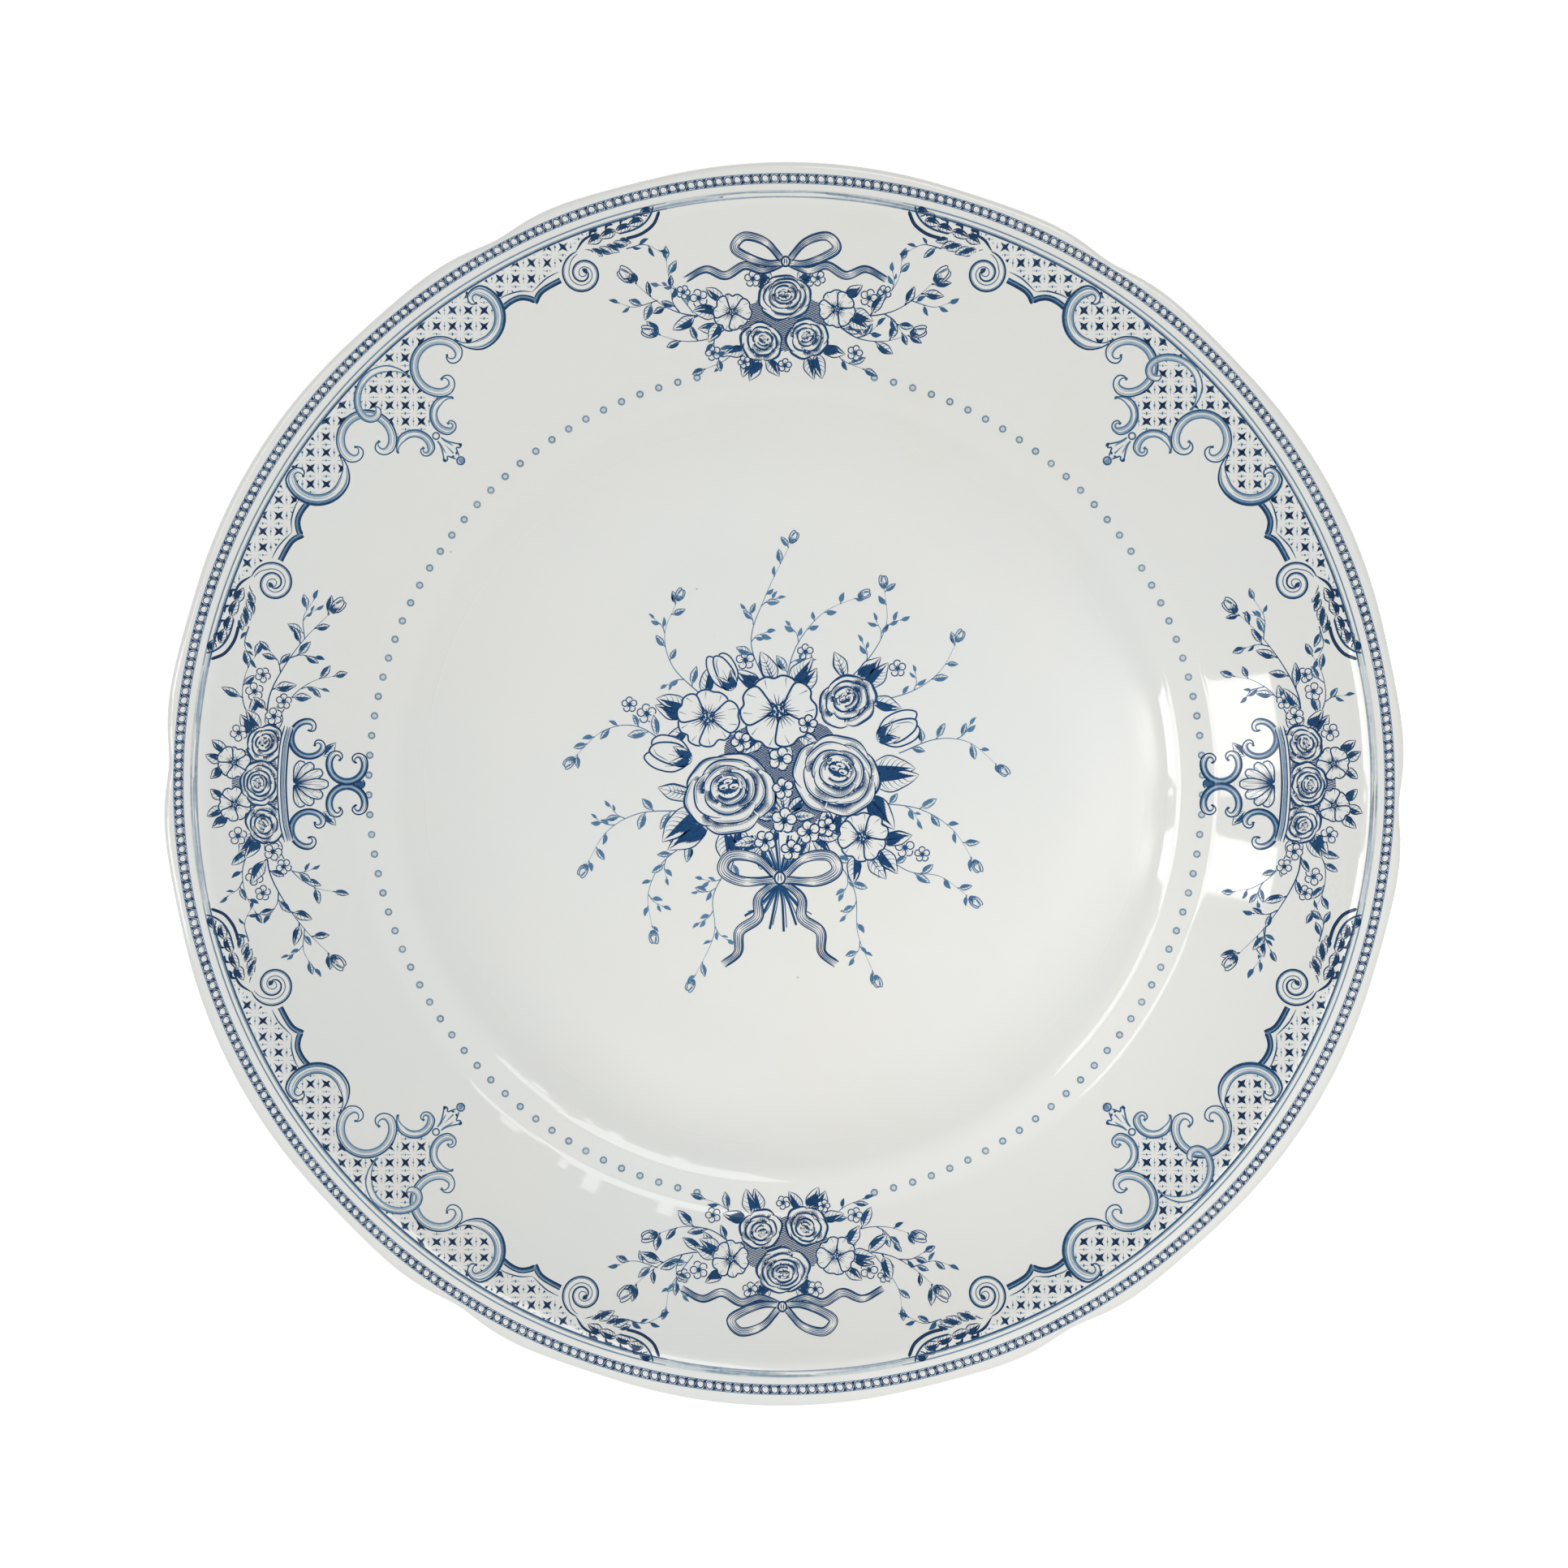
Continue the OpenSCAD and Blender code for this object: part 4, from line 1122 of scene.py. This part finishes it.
def printSheet(name, sheet, material, node):
    look = printLook
    curve = bpy.data.curves.new(name, "CURVE")
    curve.dimensions, curve.twist_mode, curve.extrude = "3D", "Z_UP", 1.0
    tones, layers = [], []
    for index, (path, half, tone) in enumerate(sheet.strokes):
        spline = curve.splines.new("POLY")
        spline.points.add(len(path) - 1)
        spline.points.foreach_set("co", np.column_stack([path, np.zeros(len(path)), np.ones(len(path))]).ravel())
        spline.points.foreach_set("radius", half)
        spline.points.foreach_set("tilt", np.full(len(path), pi / 2))
        tones.append(np.full(2 * len(path), tone))
        # deep lines lie over pale ones
        depth = min(look["depths"], int(look["depths"] * tone)) + index % look["turns"]
        layers.append(np.full(2 * len(path), depth))
    drawn = addObject(name + "Curve", curve)
    bpy.context.view_layer.update()
    mesh = bpy.data.meshes.new_from_object(drawn.evaluated_get(bpy.context.evaluated_depsgraph_get()))
    bpy.data.objects.remove(drawn)
    tones, layers = np.concatenate(tones), np.concatenate(layers)
    flat = np.empty(3 * len(mesh.vertices))
    mesh.vertices.foreach_get("co", flat)
    flat = flat.reshape(-1, 3)[:, :2]
    height = glazeHeight(np.hypot(flat[:, 0], flat[:, 1])) + look["lift"] + layers * look["layerStep"]
    mesh.vertices.foreach_set("co", (np.column_stack([flat, height]) * mm).ravel())
    mesh.attributes.new("tone", "FLOAT", "POINT").data.foreach_set("value", tones)
    for layer in list(mesh.uv_layers):
        mesh.uv_layers.remove(layer)
    plan = mesh.uv_layers.new(name="OFBake")
    corners = np.empty(len(mesh.loops), int)
    mesh.loops.foreach_get("vertex_index", corners)
    low, high = flat.min(0), flat.max(0)
    spread = (flat[corners] - low) / (high - low).max() * look["uvSpan"] + look["uvEdge"]
    plan.data.foreach_set("uv", spread.ravel())
    mesh.materials.clear()
    mesh.materials.append(material)
    mesh.update()
    for face in mesh.polygons:
        face.use_smooth = True
    mesh.normals_split_custom_set_from_vertices([tuple(n) for n in glazeNormals(flat)])
    piece = addObject(name, mesh)
    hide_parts(node)
    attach(piece, "root")
    print(name, "printed:", len(mesh.polygons), "faces")


rimBlue = inkMaterial("rim ink", ((186, 198, 207), (90, 131, 162), (18, 76, 118), (0, 42, 82)))
paleBlue = inkMaterial("pale line ink", ((206, 212, 214), (126, 151, 170), (84, 118, 146), (38, 80, 116)))
sprayBlue = inkMaterial("spray ink", ((186, 198, 207), (88, 131, 164), (16, 74, 118), (0, 42, 84)))
posyBlue = inkMaterial("posy ink", ((184, 198, 209), (88, 130, 164), (14, 74, 120), (0, 46, 92)), 0.38)

printSheet("beadBorder", beadBorder(), rimBlue, "bead_border")
printSheet("rimLine", rimLine(), paleBlue, "rim_line")
for middle, node in ((0, "dots_e"), (180, "dots_w")):
    printSheet("ledgeDots" + node[-1].upper(), dotRing(middle), paleBlue, node)
for diagonal, press, node in ((45, 1.0, "trellis_ne"), (135, 0.9, "trellis_nw"), (225, 0.86, "trellis_sw"),
                              (315, 0.98, "trellis_se")):
    printSheet("trellis" + node[-2:].title(), trellisPanel(diagonal, press), rimBlue, node)
for turn, press, node, draw in ((90, 1.0, "spray_n", deepSpray), (270, 0.92, "spray_s", deepSpray),
                                (0, 0.95, "spray_e", scrollSpray), (180, 0.9, "spray_w", scrollSpray)):
    printSheet("spray" + node[-1].upper(), draw(turn, press), sprayBlue, node)
printSheet("centrePosy", centrePosy(), posyBlue, "centre_spray")


# floor, backdrop and light

studio = {"floorSize": 60.0, "floorGap": 0.0001, "floorColour": (0.86, 0.86, 0.86), "floorLift": 0.5, "world": 0.67,
          "soft": ({"at": (0.16, -0.5, 1.35), "size": 0.9, "watts": 5.6},
                   {"at": (-1.84, 1.06, 1.13), "size": 1.2, "watts": 2.6}), "softAim": (0, 0, 0.02),
          "pool": {"at": (0.066, -0.06, 1.4), "cone": 9.0, "watts": 12.0, "radius": 0.08},
          "paneDistance": 4.0, "paneAim": (0, 0, 0.03)}


def whiteSight(tree):  # 1 for what the camera sees, also by gloss or through glass
    path = tree.nodes.new("ShaderNodeLightPath")
    rays = ("Is Camera Ray", "Is Glossy Ray", "Is Transmission Ray")
    seen, mirrored, through = (socketValue(tree, path.outputs[ray]) for ray in rays)
    return seen.sum("MAXIMUM", seen.sum("MAXIMUM", seen, mirrored), through)


def buildFloor():
    work = bmesh.new()
    bmesh.ops.create_grid(work, x_segments=1, y_segments=1, size=studio["floorSize"] / 2,
                          matrix=Matrix.Translation((0, 0, -studio["floorGap"])))
    colour = (*studio["floorColour"], 1)
    material, shader, spot = newMaterial("white sweep", {"Base Color": colour, "Roughness": 0.9,
                                                         "Specular IOR Level": 0.0})
    shown = whiteSight(spot.tree)
    glow = shown.node("ShaderNodeEmission", {}, {"Strength": shown * studio["floorLift"]})
    both = shown.node("ShaderNodeAddShader", {}, {0: socketValue(spot.tree, shader.outputs[0]), 1: glow})
    spot.tree.links.new(both.link, spot.tree.nodes["Material Output"].inputs["Surface"])
    finishPiece("floor", work, material, False)


def buildWorld():
    world = bpy.data.worlds.new("studio")
    scene.world = world
    world.use_nodes = True
    tree = world.node_tree
    strength = studio["world"] + whiteSight(tree) * (1 - studio["world"])
    tree.links.new(strength.link, tree.nodes["Background"].inputs["Strength"])
    tree.nodes["Background"].inputs["Color"].default_value = (1, 1, 1, 1)


def addLamp(name, at, aimAt, sizeX, sizeY, watts, mirrorOnly):
    data = bpy.data.lights.new(name, "AREA")
    data.shape, data.size, data.size_y, data.energy = "RECTANGLE", sizeX, sizeY, watts
    lamp = addObject(name, data)
    lamp.location = at
    lamp.rotation_euler = (Vector(aimAt) - Vector(at)).to_track_quat("-Z", "Y").to_euler()
    lamp.visible_camera, lamp.visible_diffuse, lamp.visible_glossy = False, not mirrorOnly, mirrorOnly


def addPool():  # a little more light on one side of the well
    pool = studio["pool"]
    data = bpy.data.lights.new("pool", "SPOT")
    data.energy, data.spot_size, data.spot_blend = pool["watts"], radians(pool["cone"]), 1.0
    data.shadow_soft_size = pool["radius"]
    lamp = addObject("pool", data)
    lamp.location = pool["at"]
    lamp.visible_camera, lamp.visible_glossy = False, False


# window panes seen in the glaze: from and to azimuth, from and to elevation, as seen from the bowl, and brightness
panes = ((180.8, 193.6, 20.6, 47.0, 6.5), (165.6, 173.2, 20.4, 47.0, 6.5), (178.4, 179.4, 22.0, 38.0, 5.0),
         (162.0, 194.0, 47.5, 60.0, 5.0), (134.0, 160.0, 52.0, 63.0, 3.8), (44.0, 56.0, 46.0, 58.0, 3.2),
         (57.5, 88.0, 41.0, 64.0, 3.2), (49.6, 52.6, 34.0, 44.0, 3.2), (59.2, 60.6, 33.0, 42.0, 3.2),
         (63.2, 65.4, 31.0, 42.0, 3.2), (73.4, 75.6, 32.0, 42.0, 3.2))


def addPanes():
    distance = studio["paneDistance"]
    for k, (a0, a1, e0, e1, bright) in enumerate(panes):
        a, e = radians((a0 + a1) / 2), radians((e0 + e1) / 2)
        way = Vector((cos(a) * cos(e), sin(a) * cos(e), sin(e)))
        wide = 2 * distance * cos(e) * sin(radians(a1 - a0) / 2)
        tall = 2 * distance * sin(radians(e1 - e0) / 2)
        addLamp("pane%d" % (k + 1), way * distance, studio["paneAim"], wide, tall, bright * pi * wide * tall, True)


buildFloor()
buildWorld()
for k, lamp in enumerate(studio["soft"]):
    addLamp("soft%d" % (k + 1), lamp["at"], studio["softAim"], lamp["size"], lamp["size"], lamp["watts"], False)
addPool()
addPanes()
scene.view_settings.view_transform = "Standard"
print("studio lit")
